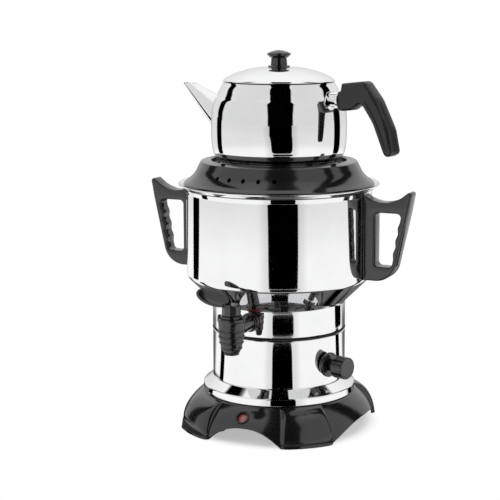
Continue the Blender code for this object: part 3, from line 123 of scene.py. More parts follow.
# Housing and gasket
steel = 0.0008
ring_height = 0.0093
skirt_rise = 0.0090
ring_round = 0.0018
skirt_round = 0.0020
tube_round = 0.0012
housing_flange_width = 0.0130
gasket_width = 0.0123
gasket_round_share = 0.9

# Base
base_rim_reach = 0.0008
base_wall_reach = 0.0260
base_wall = 0.0024
base_flange = 0.0026
base_flange_inset = 0.0155
base_edge = 0.0009
arch_height = 0.0200
arch_half_way_share = 0.81
arch_power = math.log2(1 / (1 - arch_half_way_share))
foot_reach = 0.0300
foot_lip = 0.0022
foot_lip_height = 0.0045
foot_angle = math.radians(40)
front_left_foot_angle = math.radians(36)
foot_half_angle = math.radians(15.6)
foot_shoulder = 8
foot_columns = 44
wall_columns = 36
base_rows = 40

# Teapot
pot_neck = 0.0644
pot_steel = 0.0009
pot_side_shares = (
    (0.807, 0.000), (0.820, 0.021), (0.843, 0.054), (0.882, 0.117), (0.921, 0.174), (0.951, 0.219),
    (0.980, 0.298), (0.9925, 0.366), (1.0, 0.483), (1.0, 0.616), (0.9925, 0.739), (0.980, 0.811),
    (0.960, 0.862), (0.932, 0.914), (0.902, 0.955), (0.827, 1.0),
)
pot_grip_shares = (
    (0.000, 0.840, 0.00), (0.053, 0.860, 0.01), (0.074, 0.960, 0.02), (0.473, 1.000, 0.09),
    (0.700, 0.760, 0.45), (0.925, 0.372, 0.40), (1.000, 0.060, 0.06), (0.870, 0.000, 0.06),
    (0.815, 0.070, 0.05), (0.630, 0.445, 0.35), (0.415, 0.715, 0.08), (0.240, 0.605, 0.10),
    (0.080, 0.590, 0.04), (0.000, 0.600, 0.00),
)
pot_groove_shares = (
    ((0.56, 0.86), (0.74, 0.64), (0.87, 0.38), (0.94, 0.12)),
    ((0.50, 0.74), (0.66, 0.54), (0.79, 0.31), (0.88, 0.10)),
)

# Directions
front, right, left = 0.0, math.pi / 2, math.pi * 3 / 2
thermostat_angle = math.radians(72)
spout_angle = math.radians(-100)
pot_handle_angle = math.radians(79)
up = Vector((0, 0, 1))
sideways = Vector((1, 0, 0))
foot_angles = (foot_angle, math.pi - foot_angle, math.pi + foot_angle,
               math.tau - front_left_foot_angle)
corner_names = ("front_right", "back_right", "back_left", "front_left")


class Flow:
    """A value or colour that flows from one node to the next, added and multiplied as a number is."""

    def __init__(self, shading, socket):
        self.shading = shading
        self.socket = socket

    def maths(self, operation, *values):
        """A Math node on this value and others."""
        return self.shading.node("ShaderNodeMath", {"operation": operation}, values)

    def __add__(self, other):
        return self.maths("ADD", self, other)

    __radd__ = __add__

    def __sub__(self, other):
        return self.maths("SUBTRACT", self, other)

    def __rsub__(self, other):
        return self.maths("SUBTRACT", other, self)

    def __mul__(self, other):
        return self.maths("MULTIPLY", self, other)

    __rmul__ = __mul__

    def __truediv__(self, other):
        return self.maths("DIVIDE", self, other)

    def __pow__(self, other):
        return self.maths("POWER", self, other)


class Shading:
    """The node tree of a material or of the world, and the few nodes that all finishes use."""

    def __init__(self, tree):
        self.tree = tree

    def node(self, kind, settings=None, values=(), output=0):
        """A node of any kind: its settings first, then the values or links of its sockets."""
        node = self.tree.nodes.new(kind)
        for name, setting in (settings or {}).items():
            if name == "stops":
                self.set_stops(node.color_ramp, setting)
            else:
                setattr(node, name, setting)
        items = values.items() if isinstance(values, dict) else enumerate(values)
        for name, value in items:
            if isinstance(value, Flow):
                self.tree.links.new(value.socket, node.inputs[name])
            else:
                node.inputs[name].default_value = value
        return Flow(self, node.outputs[output])

    def set_stops(self, ramp, stops):
        """The stops of a ramp, as (place, colour) pairs."""
        while len(ramp.elements) < len(stops):
            ramp.elements.new(1)
        for element, (place, colour) in zip(ramp.elements, stops):
            element.position = place
            element.color = (*colour, 1)

    def place(self):
        """The point on the piece."""
        return self.node("ShaderNodeTexCoord", output="Object")

    def parts(self, vector):
        """The three numbers of a vector."""
        split = self.node("ShaderNodeSeparateXYZ", values=(vector,))
        outputs = split.socket.node.outputs
        return [Flow(self, outputs[index]) for index in range(3)]

    def join(self, x, y, z):
        """A vector from three numbers."""
        return self.node("ShaderNodeCombineXYZ", values=(x, y, z))

    def noise(self, vector, scale, detail=4.0, roughness=0.55):
        """Soft noise from 0 to 1."""
        values = {"Vector": vector, "Scale": scale, "Detail": detail, "Roughness": roughness}
        return self.node("ShaderNodeTexNoise", values=values)

    def ease(self, value, low, high, start=0.0, end=1.0):
        """A smooth step from one value to another between two marks."""
        values = {"Value": value, "From Min": low, "From Max": high, "To Min": start, "To Max": end}
        return self.node("ShaderNodeMapRange", {"interpolation_type": "SMOOTHSTEP"}, values)

    def ramp(self, value, stops):
        """A colour from a ramp."""
        return self.node("ShaderNodeValToRGB", {"stops": stops}, (value,))

    def blend(self, share, first, second):
        """A colour between two colours."""
        node = self.tree.nodes.new("ShaderNodeMix")
        node.data_type = "RGBA"
        for index, value in ((0, share), (6, first), (7, second)):
            if isinstance(value, Flow):
                self.tree.links.new(value.socket, node.inputs[index])
            else:
                node.inputs[index].default_value = (*value, 1) if index else value
        return Flow(self, node.outputs[2])

    def bump(self, height, distance, strength=1.0):
        """A surface normal from a height."""
        values = {"Height": height, "Distance": distance, "Strength": strength}
        return self.node("ShaderNodeBump", values=values)

    def rays(self, kind):
        """1 on rays of one kind, 0 on the others."""
        return self.node("ShaderNodeLightPath", output="Is " + kind + " Ray")

    def end(self, kind, shader):
        """Leads a shader to the surface of the tree's output."""
        output = self.tree.nodes.new(kind)
        self.tree.links.new(shader.socket, output.inputs["Surface"])


def finish(name, shading_of, **fixed):
    """A material: fixed values of the shader, and a function that adds what varies."""
    material = bpy.data.materials.new(name)
    material.use_nodes = True
    tree = material.node_tree
    shader = tree.nodes["Principled BSDF"]
    for socket, value in fixed.items():
        shader.inputs[socket.replace("_", " ")].default_value = value
    shading = Shading(tree)
    for socket, value in shading_of(shading).items():
        tree.links.new(value.socket, shader.inputs[socket])
    return material


def polished_steel(shading):
    """Mirror polish on pressed steel: faint rings, soft waves, a few hairlines, and painted shade in the
    seams.
    """
    place = shading.place()
    x, y, z = shading.parts(place)
    rings = shading.noise(shading.join(x * 6, y * 6, z * 900), scale=1.0, detail=3.0, roughness=0.7)
    waves = shading.noise(place, scale=12.0, detail=1.0, roughness=0.4)
    smears = shading.noise(place, scale=38.0, detail=5.0, roughness=0.6)
    hairs = shading.noise(shading.join(x * 900, y * 900, z * 30), scale=1.0, detail=2.0, roughness=0.6)
    # Painted shade: along the marked seams the steel turns near black, standing in for the shadow lines
    # between parts.
    grime = shading.node("ShaderNodeAttribute", {"attribute_name": "grime"}, output="Fac")
    colour = shading.ramp(smears, ((0.30, (0.89, 0.893, 0.90)), (0.75, (0.94, 0.943, 0.945))))
    colour = shading.blend(grime, colour, (0.05, 0.048, 0.046))
    roughness = shading.ease(smears, 0.35, 0.75, 0.030, 0.055) + shading.ease(hairs, 0.62, 0.80, 0.0, 0.04)
    height = rings * 0.002 + waves * 0.05 + hairs * 0.001
    normal = shading.bump(height, distance=0.00025)
    return {"Base Color": colour, "Roughness": roughness, "Normal": normal}


def glossy_plastic(shading):
    """Glossy black plastic: slight orange peel, dust-fine specks and worn sheen."""
    place = shading.place()
    peel = shading.noise(place, scale=240.0, detail=2.0, roughness=0.5)
    cloud = shading.noise(place, scale=22.0, detail=4.0, roughness=0.6)
    specks = shading.ease(shading.noise(place, scale=1900.0, detail=1.0, roughness=0.5), 0.76, 0.82)
    colour = shading.ramp(cloud, ((0.3, (0.0055, 0.0055, 0.006)), (0.75, (0.0095, 0.0095, 0.010))))
    colour = shading.blend(specks, colour, (0.03, 0.03, 0.032))
    roughness = shading.ease(cloud, 0.3, 0.75, 0.10, 0.16)
    normal = shading.bump(peel, distance=0.00002)
    return {"Base Color": colour, "Roughness": roughness, "Normal": normal}


def satin_plastic(shading):
    """Satin black plastic with the fine grain of a spark-eroded mould."""
    place = shading.place()
    grain = shading.noise(place, scale=1400.0, detail=2.0, roughness=0.6)
    cloud = shading.noise(place, scale=30.0, detail=4.0, roughness=0.6)
    colour = shading.ramp(cloud, ((0.3, (0.008, 0.008, 0.0085)), (0.75, (0.013, 0.013, 0.0135))))
    roughness = shading.ease(cloud, 0.3, 0.75, 0.26, 0.34)
    normal = shading.bump(grain, distance=0.00003)
    return {"Base Color": colour, "Roughness": roughness, "Normal": normal}


def black_rubber(shading):
    """Dull rubber with a little dust."""
    place = shading.place()
    grain = shading.noise(place, scale=900.0, detail=3.0, roughness=0.6)
    dust = shading.ease(shading.noise(place, scale=120.0, detail=5.0, roughness=0.65), 0.55, 0.80)
    colour = shading.blend(dust, (0.018, 0.018, 0.018), (0.05, 0.049, 0.047))
    normal = shading.bump(grain, distance=0.00008)
    return {"Base Color": colour, "Roughness": 0.7 + dust * 0.15, "Normal": normal}


def red_silicone(shading):
    """Dark red silicone of a tap washer."""
    place = shading.place()
    cloud = shading.noise(place, scale=160.0, detail=4.0, roughness=0.6)
    colour = shading.ramp(cloud, ((0.3, (0.10, 0.012, 0.014)), (0.8, (0.20, 0.025, 0.028))))
    normal = shading.bump(cloud, distance=0.00005)
    return {"Base Color": colour, "Roughness": 0.35 + cloud * 0.2, "Normal": normal}


def lamp_red(shading):
    """The lamp's dusty red lens."""
    place = shading.place()
    cloud = shading.noise(place, scale=420.0, detail=4.0, roughness=0.6)
    colour = shading.ramp(cloud, ((0.3, (0.34, 0.090, 0.085)), (0.8, (0.46, 0.16, 0.15))))
    normal = shading.bump(cloud, distance=0.00004)
    return {"Base Color": colour, "Roughness": 0.22 + cloud * 0.2, "Normal": normal}


def turned_brass(shading):
    """Brass with turning marks and a little tarnish."""
    place = shading.place()
    x, y, z = shading.parts(place)
    marks = shading.noise(shading.join(x * 40, y * 40, z * 2600), scale=1.0, detail=2.0, roughness=0.6)
    tarnish = shading.noise(place, scale=90.0, detail=4.0, roughness=0.6)
    colour = shading.ramp(tarnish, ((0.3, (0.55, 0.38, 0.15)), (0.8, (0.72, 0.54, 0.25))))
    normal = shading.bump(marks, distance=0.00004)
    return {"Base Color": colour, "Roughness": 0.2 + tarnish * 0.25, "Normal": normal}


def zinc_plate(shading):
    """Zinc plate on steel, a little blotched."""
    place = shading.place()
    blotch = shading.noise(place, scale=240.0, detail=4.0, roughness=0.6)
    marks = shading.noise(place, scale=1500.0, detail=2.0, roughness=0.6)
    colour = shading.ramp(blotch, ((0.3, (0.46, 0.47, 0.49)), (0.8, (0.66, 0.67, 0.70))))
    normal = shading.bump(marks, distance=0.00003)
    return {"Base Color": colour, "Roughness": 0.24 + blotch * 0.24, "Normal": normal}


def fired_ceramic(shading):
    """Unglazed ceramic with a fine grain."""
    place = shading.place()
    grain = shading.noise(place, scale=1100.0, detail=4.0, roughness=0.65)
    cloud = shading.noise(place, scale=60.0, detail=4.0, roughness=0.6)
    colour = shading.ramp(cloud, ((0.3, (0.66, 0.63, 0.55)), (0.8, (0.80, 0.77, 0.70))))
    normal = shading.bump(grain, distance=0.00006)
    return {"Base Color": colour, "Roughness": 0.55 + grain * 0.2, "Normal": normal}


finishes = {
    "polished_steel": finish("polished_steel", polished_steel, Metallic=1.0),
    "gloss_black": finish("gloss_black", glossy_plastic, IOR=1.72),
    "matte_black": finish("matte_black", satin_plastic, IOR=1.52),
    "rubber": finish("rubber", black_rubber),
    "dark_red": finish("dark_red", red_silicone),
    "red_lens": finish("red_lens", lamp_red, Coat_Weight=0.5),
    "brass": finish("brass", turned_brass, Metallic=1.0),
    "zinc": finish("zinc", zinc_plate, Metallic=1.0),
    "ceramic": finish("ceramic", fired_ceramic),
}


def outward(angle):
    """The level direction away from the axis at an angle round the samovar, from the front to +X."""
    return Vector((math.sin(angle), -math.cos(angle), 0))


def rounded(corners, steps=arc_steps):
    """Points of an outline whose corners (x, y, radius) are replaced by round arcs."""
    points = []
    count = len(corners)
    for index in range(count):
        x, y, radius = corners[index]
        here = Vector((x, y))
        if radius <= 0:
            points.append(here)
            continue
        before = (Vector(corners[index - 1][:2]) - here).normalized()
        after = (Vector(corners[(index + 1) % count][:2]) - here).normalized()
        half = before.angle(after) / 2
        centre = here + (before + after).normalized() * (radius / math.sin(half))
        start = here + before * (radius / math.tan(half)) - centre
        end = here + after * (radius / math.tan(half)) - centre
        turn = start.angle_signed(end)
        for step in range(steps + 1):
            arm = start.copy()
            arm.rotate(Matrix.Rotation(-turn * step / steps, 2))
            points.append(centre + arm)
    return points


def smooth_line(points, steps=8):
    """A smooth line through points, without its last point."""
    line = []
    padded = [points[0] * 2 - points[1], *points, points[-1] * 2 - points[-2]]
    for before, here, after, beyond in zip(padded, padded[1:], padded[2:], padded[3:]):
        for step in range(steps):
            t = step / steps
            pull = (after - before) * (t - 2 * t * t + t ** 3)
            push = (beyond - here) * (t ** 3 - t * t)
            near, far = 1 - 3 * t * t + 2 * t ** 3, 3 * t * t - 2 * t ** 3
            line.append(here * near + after * far + (pull + push) / 2)
    return line


def turns(count):
    """Angles spaced evenly round a circle."""
    return [math.tau * step / count for step in range(count)]


def new_piece(name, work):
    """An object from a bmesh, welded, with its faces turned outwards and its smooth edges smooth."""
    bmesh.ops.remove_doubles(work, verts=work.verts, dist=merge_distance)
    loose = [vertex for vertex in work.verts if not vertex.link_faces]
    bmesh.ops.delete(work, geom=loose, context="VERTS")
    bmesh.ops.recalc_face_normals(work, faces=work.faces)
    mesh = bpy.data.meshes.new(name)
    work.to_mesh(mesh)
    work.free()
    return link_piece(name, mesh)


def link_piece(name, mesh):
    """An object for a mesh, shaded smooth but for its sharp edges."""
    mesh.name = name
    mesh.shade_smooth()
    mesh.set_sharp_from_angle(angle=sharp_angle)
    piece = bpy.data.objects.new(name, mesh)
    bpy.context.scene.collection.objects.link(piece)
    return piece


def held(outline, closed):
    """An outline with two more points near each long stretch's ends, which keep it straight."""
    points = [Vector(point) for point in outline]
    line = []
    for here, after in zip(points, points[1:] + points[:1]):
        line.append(here)
        if (after - here).length > long_stretch:
            step = (after - here).normalized() * stretch_end
            line += [here + step, after - step]
    return line if closed else line[:line.index(points[-1]) + 1]


def turned(name, outline, sides=fine_sides, closed=True):
    """A body turned round +Z from (radius, height) points."""
    outline = held(outline, closed)
    work = bmesh.new()
    rings = []
    for angle in turns(sides):
        across, along = math.cos(angle), math.sin(angle)
        rings.append([work.verts.new((r * across, r * along, z)) for r, z in outline])
    count = len(outline)
    last = count if closed else count - 1
    for here, after in zip(rings, rings[1:] + rings[:1]):
        for index in range(last):
            below = (index + 1) % count
            corners = [here[index], here[below], after[below], after[index]]
            corners = [v for n, v in enumerate(corners) if not any(v.co == w.co for w in corners[:n])]
            if len(corners) > 2:
                work.faces.new(corners)
    return new_piece(name, work)


def lathed(name, corners, sides=part_sides, steps=arc_steps, closed=False):
    """A body turned round +Z from the corners (radius, height, rounding) of its outline."""
    return turned(name, rounded(corners, steps), sides, closed)


def lofted(name, sections, closed_ends=True):
    """A body through closed sections of equally many points."""
    work = bmesh.new()
    rings = [[work.verts.new(point) for point in section] for section in sections]
    count = len(sections[0])
    for here, after in zip(rings, rings[1:]):
        for index in range(count):
            beside = (index + 1) % count
            work.faces.new((here[index], here[beside], after[beside], after[index]))
    if closed_ends:
        work.faces.new(rings[0])
        work.faces.new(rings[-1])
    return new_piece(name, work)


def moved(piece, turn=None, place=Vector()):
    """Writes a turn and a place into a piece's mesh."""
    matrix = Matrix.Translation(place)
    if turn is not None:
        matrix = matrix @ turn.to_4x4()
    piece.data.transform(matrix)
    return piece


def facing(direction):
    """The turn that takes +Z to a direction, with the piece's own +Y kept up where it can be."""
    direction = Vector(direction).normalized()
    if abs(direction.z) > nearly_upright:
        return Matrix.Identity(3)
    across = up.cross(direction).normalized()
    return Matrix((across, direction.cross(across), direction)).transposed()


def upright(angle):
    """The turn that stands a flat piece in the upright plane at an angle, with its x as the reach."""
    direction = outward(angle)
    return Matrix((direction, up, direction.cross(up))).transposed()


def cut(piece, *tools):
    """Takes the tools' volumes away from a piece."""
    return combine(piece, tools, "DIFFERENCE")


def fuse(piece, *tools):
    """Makes one body of a piece and the tools that overlap it."""
    return combine(piece, tools, "UNION")


def combine(piece, tools, operation):
    """A Boolean of a piece with its tools, as a plain mesh."""
    for tool in tools:
        step = piece.modifiers.new("step", "BOOLEAN")
        step.operation = operation
        step.solver = "EXACT"
        step.object = tool
    mesh = settled(piece)
    piece.modifiers.clear()
    piece.data = mesh
    mesh.set_sharp_from_angle(angle=sharp_angle)
    for tool in tools:
        bpy.data.objects.remove(tool, do_unlink=True)
    return piece


def settled(piece):
    """The mesh that a piece has with its modifiers."""
    bpy.context.view_layer.update()
    evaluated = piece.evaluated_get(bpy.context.evaluated_depsgraph_get())
    return bpy.data.meshes.new_from_object(evaluated)


def paint_shade(piece, amount_at):
    """Marks how strongly painted shade darkens a piece's seams, from 0 to 1, by the places of its points."""
    marks = piece.data.attributes.new("grime", "FLOAT", "POINT")
    for vertex, mark in zip(piece.data.vertices, marks.data):
        mark.value = amount_at(vertex.co)
    return piece


def kind_of(value):
    """The kind of socket that takes a value."""
    kinds = ((int, "NodeSocketInt"), (float, "NodeSocketFloat"), (bpy.types.Object, "NodeSocketObject"),
             (bpy.types.Material, "NodeSocketMaterial"))
    return next(kind for sort, kind in kinds if isinstance(value, sort))


def grown(name, layout, slot, **sizes):
    """A plain piece from a Geometry Nodes tree whose sizes are its named inputs."""
    tree = bpy.data.node_groups.new(name, "GeometryNodeTree")
    shading = Shading(tree)
    sizes["material"] = finishes[slot]
    for title, value in sizes.items():
        tree.interface.new_socket(title, in_out="INPUT", socket_type=kind_of(value))
    tree.interface.new_socket("mesh", in_out="OUTPUT", socket_type="NodeSocketGeometry")
    source = tree.nodes.new("NodeGroupInput")
    given = {title: Flow(shading, source.outputs[title]) for title in sizes}
    laid = layout(shading, **{title: flow for title, flow in given.items() if title != "material"})
    plain = shading.node("GeometryNodeRealizeInstances", values=(laid,))
    values = {"Geometry": plain, "Material": given["material"]}
    painted = shading.node("GeometryNodeSetMaterial", values=values)
    output = tree.nodes.new("NodeGroupOutput")
    tree.links.new(painted.socket, output.inputs[0])
    piece = link_piece(name, bpy.data.meshes.new(name))
    step = piece.modifiers.new("grow", "NODES")
    step.node_group = tree
    for item in tree.interface.items_tree:
        if item.in_out == "INPUT":
            step[item.identifier] = sizes[item.name]
    mesh = settled(piece)
    piece.modifiers.clear()
    piece.data = mesh
    mesh.shade_smooth()
    mesh.set_sharp_from_angle(angle=sharp_angle)
    return piece


def row_of_rods(shading, count, spacing, sides, radius, length, reach, height):
    """Level rods that point outwards, side by side on an arc before the axis."""
    points = shading.node("GeometryNodePoints", values={"Count": count})
    angle = (shading.node("GeometryNodeInputIndex") - (count - 1) / 2) * spacing
    place = shading.join(angle.maths("SINE", angle) * reach, angle.maths("COSINE", angle) * reach * -1, height)
    placed = shading.node("GeometryNodeSetPosition", values={"Geometry": points, "Position": place})
    values = {"Vertices": sides, "Radius": radius, "Depth": length}
    rod = shading.node("GeometryNodeMeshCylinder", values=values)
    turn = shading.join(math.pi / 2, 0, angle)
    values = {"Points": placed, "Instance": rod, "Rotation": turn}
    return shading.node("GeometryNodeInstanceOnPoints", values=values)


def stack_of_ribs(shading, ring, count, depth, waist, mouth, closing):
    """Rings below one another that follow a rounded cup down to its mouth."""
    line = shading.node("GeometryNodeMeshLine", values={"Count": count, "Offset": (0, 0, 0)})
    share = (shading.node("GeometryNodeInputIndex") + 1) / count
    place = shading.join(0, 0, share * depth * -1)
    placed = shading.node("GeometryNodeSetPosition", values={"Geometry": line, "Position": place})
    radius = mouth + (waist - mouth) * (1 - (share * closing) ** 2) ** 0.5
    thing = shading.node("GeometryNodeObjectInfo", values={"Object": ring}, output="Geometry")
    values = {"Points": placed, "Instance": thing, "Scale": shading.join(radius, radius, 1)}
    return shading.node("GeometryNodeInstanceOnPoints", values=values)


def dress(piece, body, slot, *nodes):
    """Moves a piece to the vessels' axis; gives it its finish and body; hides the solids it stands for."""
    piece.data.materials.clear()
    piece.data.materials.append(finishes[slot])
    piece.data.transform(Matrix.Translation(axis))
    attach(piece, body)
    if nodes:
        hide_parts(*nodes)


def wall_outline(outside, thickness):
    """A closed outline from an outside line, with a wall of even thickness on its inner side."""
    inside = []
    for index, here in enumerate(outside):
        before = outside[max(index - 1, 0)]
        after = outside[min(index + 1, len(outside) - 1)]
        along = (after - before).normalized()
        inside.append(here + Vector((along.y, -along.x)) * thickness)
    inside = [Vector((max(point.x, 0), point.y)) for point in inside]
    return list(outside) + list(reversed(inside))


# Tank: its round corners, the lip's bead and the painted shade in the seam below it
flare_round = 0.0040
neck_round = 0.0020
lip_bead_sides = 14
tank_painted_shade = 0.80
tank_painted_shade_reach = 0.0007


def make_tank():
    """The tank: rolled lip, wall, cone and boiler pressed from one sheet."""
    corners = [
        (lip_radius - lip_bead, lip_height, 0),
        (tank_radius + flare_reach, flare_height, flare_round),
        (tank_radius, neck_height, neck_round),
        (tank_radius, tank_wall_bottom, tank_corner),
        (tube_radius, cone_bottom, cone_corner),
        (tube_radius, tank_floor, boiler_corner),
        (0, tank_floor, 0),
    ]
    tank = turned("tank_vessel", wall_outline(rounded(corners), tank_steel), closed=False)
    centre = Vector((lip_radius - lip_bead, lip_height - lip_bead))
    bead = [centre + Vector((math.cos(turn), math.sin(turn))) * lip_bead for turn in turns(lip_bead_sides)]
    dress(turned("tank_lip", bead), "base", "polished_steel")
    # Painted shade: a near-black line in the seam under the flare, standing in for the shadow there.
    paint_shade(tank, lambda place: tank_painted_shade if abs(place.z - flare_height) < tank_painted_shade_reach else 0.0)
    dress(tank, "base", "polished_steel", "tank")


# Hole for the power inlet in the housing
inlet_rim = 0.0030
inlet_cut_half = 0.0080


def make_housing():
    """The steel tube under the tank, its sloped skirt and the ring on the base."""
    inner = tube_radius - housing_flange_width
    skirt_bottom = base_top + ring_height
    corners = [
        (inner, housing_top, 0),
        (tube_radius, housing_top, tube_round),
        (tube_radius, skirt_bottom + skirt_rise, skirt_round),
        (ring_radius, skirt_bottom, ring_round),
        (ring_radius, housing_bottom, tube_round),
        (inner, housing_bottom, 0),
    ]
    housing = turned("housing_tube", wall_outline(rounded(corners), steel))
    low, high = (Vector(corner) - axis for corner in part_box("power_inlet"))
    hole = block("inlet_hole", Vector((low.x + inlet_rim, tube_radius - inlet_cut_half, low.z + inlet_rim)),
                 Vector((high.x - inlet_rim, tube_radius + inlet_cut_half, high.z - inlet_rim)))
    dress(cut(housing, hole), "base", "polished_steel", "lower_housing")


def block(name, low, high):
    """A box between two corners, for cutting."""
    work = bmesh.new()
    bmesh.ops.create_cube(work, size=1)
    bmesh.ops.scale(work, verts=work.verts, vec=high - low)
    bmesh.ops.translate(work, verts=work.verts, vec=(high + low) / 2)
    return new_piece(name, work)


def make_gasket():
    """The black ring in the seam."""
    low, high = height_of("seam_gasket")
    outer = radius_of("seam_gasket")
    inner = tube_radius - gasket_width
    edge = (high - low) / 2 * gasket_round_share
    corners = [(inner, high, 0), (outer, high, edge), (outer, low, edge), (inner, low, 0)]
    dress(turned("seam_ring", rounded(corners)), "base", "rubber", "seam_gasket")


def foot_share(angle):
    """How much of a foot stands at an angle: 1 on a foot, rounded off to 0 at its sides."""
    nearest = min(abs(math.remainder(angle - place, math.tau)) for place in foot_angles)
    share = min(nearest / foot_half_angle, 1.0)
    return math.sqrt(1 - share ** foot_shoulder)


def base_columns():
    """Angles round the base, closer at the sides of the feet."""
    angles = []
    for here, after in zip(foot_angles, foot_angles[1:] + (foot_angles[0] + math.tau,)):
        for step in range(foot_columns):
            share = math.sin((step / foot_columns - 0.5) * math.pi)
            angles.append(here + foot_half_angle * share)
        wall = after - here - foot_half_angle * 2
        angles.extend(here + foot_half_angle + wall * step / wall_columns for step in range(wall_columns))
    return angles


def base_lower_edge(angle):
    """Height of the base's lower edge: the floor on the feet, an arch between them."""
    angle = angle % math.tau
    places = (foot_angles[-1] - math.tau,) + foot_angles + (foot_angles[0] + math.tau,)
    for here, after in zip(places, places[1:]):
        if here + foot_half_angle < angle < after - foot_half_angle:
            half = (after - here) / 2 - foot_half_angle
            share = abs(angle - (here + after) / 2) / half
            return base_floor + (arch_height - base_floor) * (1 - share ** arch_power)
    return base_floor


def base_reach(angle, height):
    """Radius of the base's outside at an angle and a height."""
    rim = ring_radius + base_rim_reach
    share = height / base_top
    wall = rim + base_wall_reach * (1 - share ** 2)
    foot = rim + foot_reach * math.sqrt(max(0.0, 1 - share ** 2))
    if height < foot_lip_height:
        foot += foot_lip * (1 - height / foot_lip_height) ** 2
    return wall + (foot - wall) * foot_share(angle)


# The base's broken edges, as shares of base_edge
lower_edge_inset_share = 0.4
lower_edge_rise_share = 0.3
upper_edge_share = 0.3

# Pilot lamp: heights are measured outwards from the base's wall
lamp_drop = 0.0105
lamp_hole_radius = 0.0076
lamp_hole_half = 0.0120
holder_bore = 0.0065
holder_radius = 0.0073
holder_flange = 0.0084
holder_depth = 0.0150
holder_seat = 0.0055
flange_front = 0.0008
flange_back = 0.0003
holder_bore_round = 0.0004
holder_flange_round = 0.0005
holder_end_round = 0.0006
lens_rings = 5
lens_points = 4
lens_ripple = 0.00010
lens_inset = 0.0024
lens_dome = 0.0011
lens_back = 0.0050


def make_base():
    """The flared base on its four feet."""
    sections = []
    under = base_top - base_flange
    inner = tube_radius - base_flange_inset
    inner_rows = base_rows // 2
    for angle in base_columns():
        low = base_lower_edge(angle)
        foot = base_reach(angle, low)
        line = []
        for step in range(base_rows + 1):
            height = base_top - base_edge - (base_top - base_edge - low - base_edge) * step / base_rows
            line.append((base_reach(angle, height), height))
        line.append((foot - base_edge * lower_edge_inset_share, low + base_edge * lower_edge_rise_share))
        line.append((foot - base_edge, low))
        line.append((foot - base_wall, low))
        for step in range(inner_rows, 0, -1):
            height = under - (under - low) * step / inner_rows
            line.append((base_reach(angle, height) - base_wall, height))
        rim = base_reach(angle, base_top)
        line += [(base_reach(angle, under) - base_wall - gap, under), (inner, under), (inner, base_top)]
        line.append((rim - base_edge, base_top))
        line.append((rim - base_edge * upper_edge_share, base_top - base_edge * upper_edge_share))
        sections.append([outward(angle) * radius + up * height for radius, height in line])
    base = lofted("base_moulding", sections + sections[:1], closed_ends=False)
    point, direction = lamp_place()
    hole = lathed("lamp_hole", [(0, lamp_hole_half, 0), (lamp_hole_radius, lamp_hole_half, 0),
                                (lamp_hole_radius, -lamp_hole_half, 0), (0, -lamp_hole_half, 0)])
    moved(hole, facing(direction), point)
    dress(cut(base, hole), "base", "gloss_black", "base_shell")


def lamp_place():
    """The lamp's point on the base's front, and the direction square to it."""
    height = base_top - lamp_drop
    point = outward(front) * base_reach(front, height) + up * height
    above = outward(front) * base_reach(front, height + gap) + up * (height + gap)
    return point, sideways.cross((above - point).normalized()).normalized()


def make_lamp():
    """The pilot lamp: a recessed holder and its red lens with concentric rings."""
    point, direction = lamp_place()
    turn = facing(direction)
    holder = lathed("lamp_holder", [
        (0, -holder_seat, 0), (holder_bore, -holder_seat, 0),
        (holder_bore, flange_front, holder_bore_round),
        (holder_flange, flange_front, holder_flange_round), (holder_flange, flange_back, 0),
        (holder_radius, flange_back, 0), (holder_radius, -holder_depth, holder_end_round),
        (0, -holder_depth, 0)])
    dress(moved(holder, turn, point), "base", "matte_black", "pilot_lamp_holder")
    radius = holder_bore - gap
    line = []
    for step in range(lens_rings * lens_points + 1):
        share = step / (lens_rings * lens_points)
        ripple = lens_ripple * (1 - math.cos(step * math.tau / lens_points)) / 2
        line.append(Vector((radius * share, -lens_inset - lens_dome * share ** 2 - ripple)))
    line += [Vector((radius, -lens_back)), Vector((0, -lens_back))]
    lens = turned("lamp_lens", line, part_sides, closed=False)
    dress(moved(lens, turn, point), "base", "red_lens", "pilot_lamp_lens")


# Neck cover: the flank runs from the rim, at 0, out and down to the edge, at 1
cover_wall = 0.0024
recess_radius = 0.0800
recess_ledge = 0.0180
recess_run_in = 0.0020
recess_floor_round = 0.0008
recess_top_round = 0.0011
shoulder_drop = 0.0015
shoulder_round = 0.0016
cover_rim_width = 0.0122
cover_flank_shares = ((0.0, 0.0), (0.17, 0.25), (0.34, 0.50), (0.64, 0.745), (0.985, 0.93))
cover_flank_steps = 10
cover_flank_start = 3
cover_edge_drop = 0.0016
cover_edge = 0.0004
cover_seat_rise = 0.0012
cover_seat_slope = 0.0008
spigot_play = 0.0008
vent_count = 5
vent_spacing = math.radians(10.5)
vent_radius = 0.0024
vent_length = 0.0350
vent_reach = 0.1025
vent_drop = 0.0150


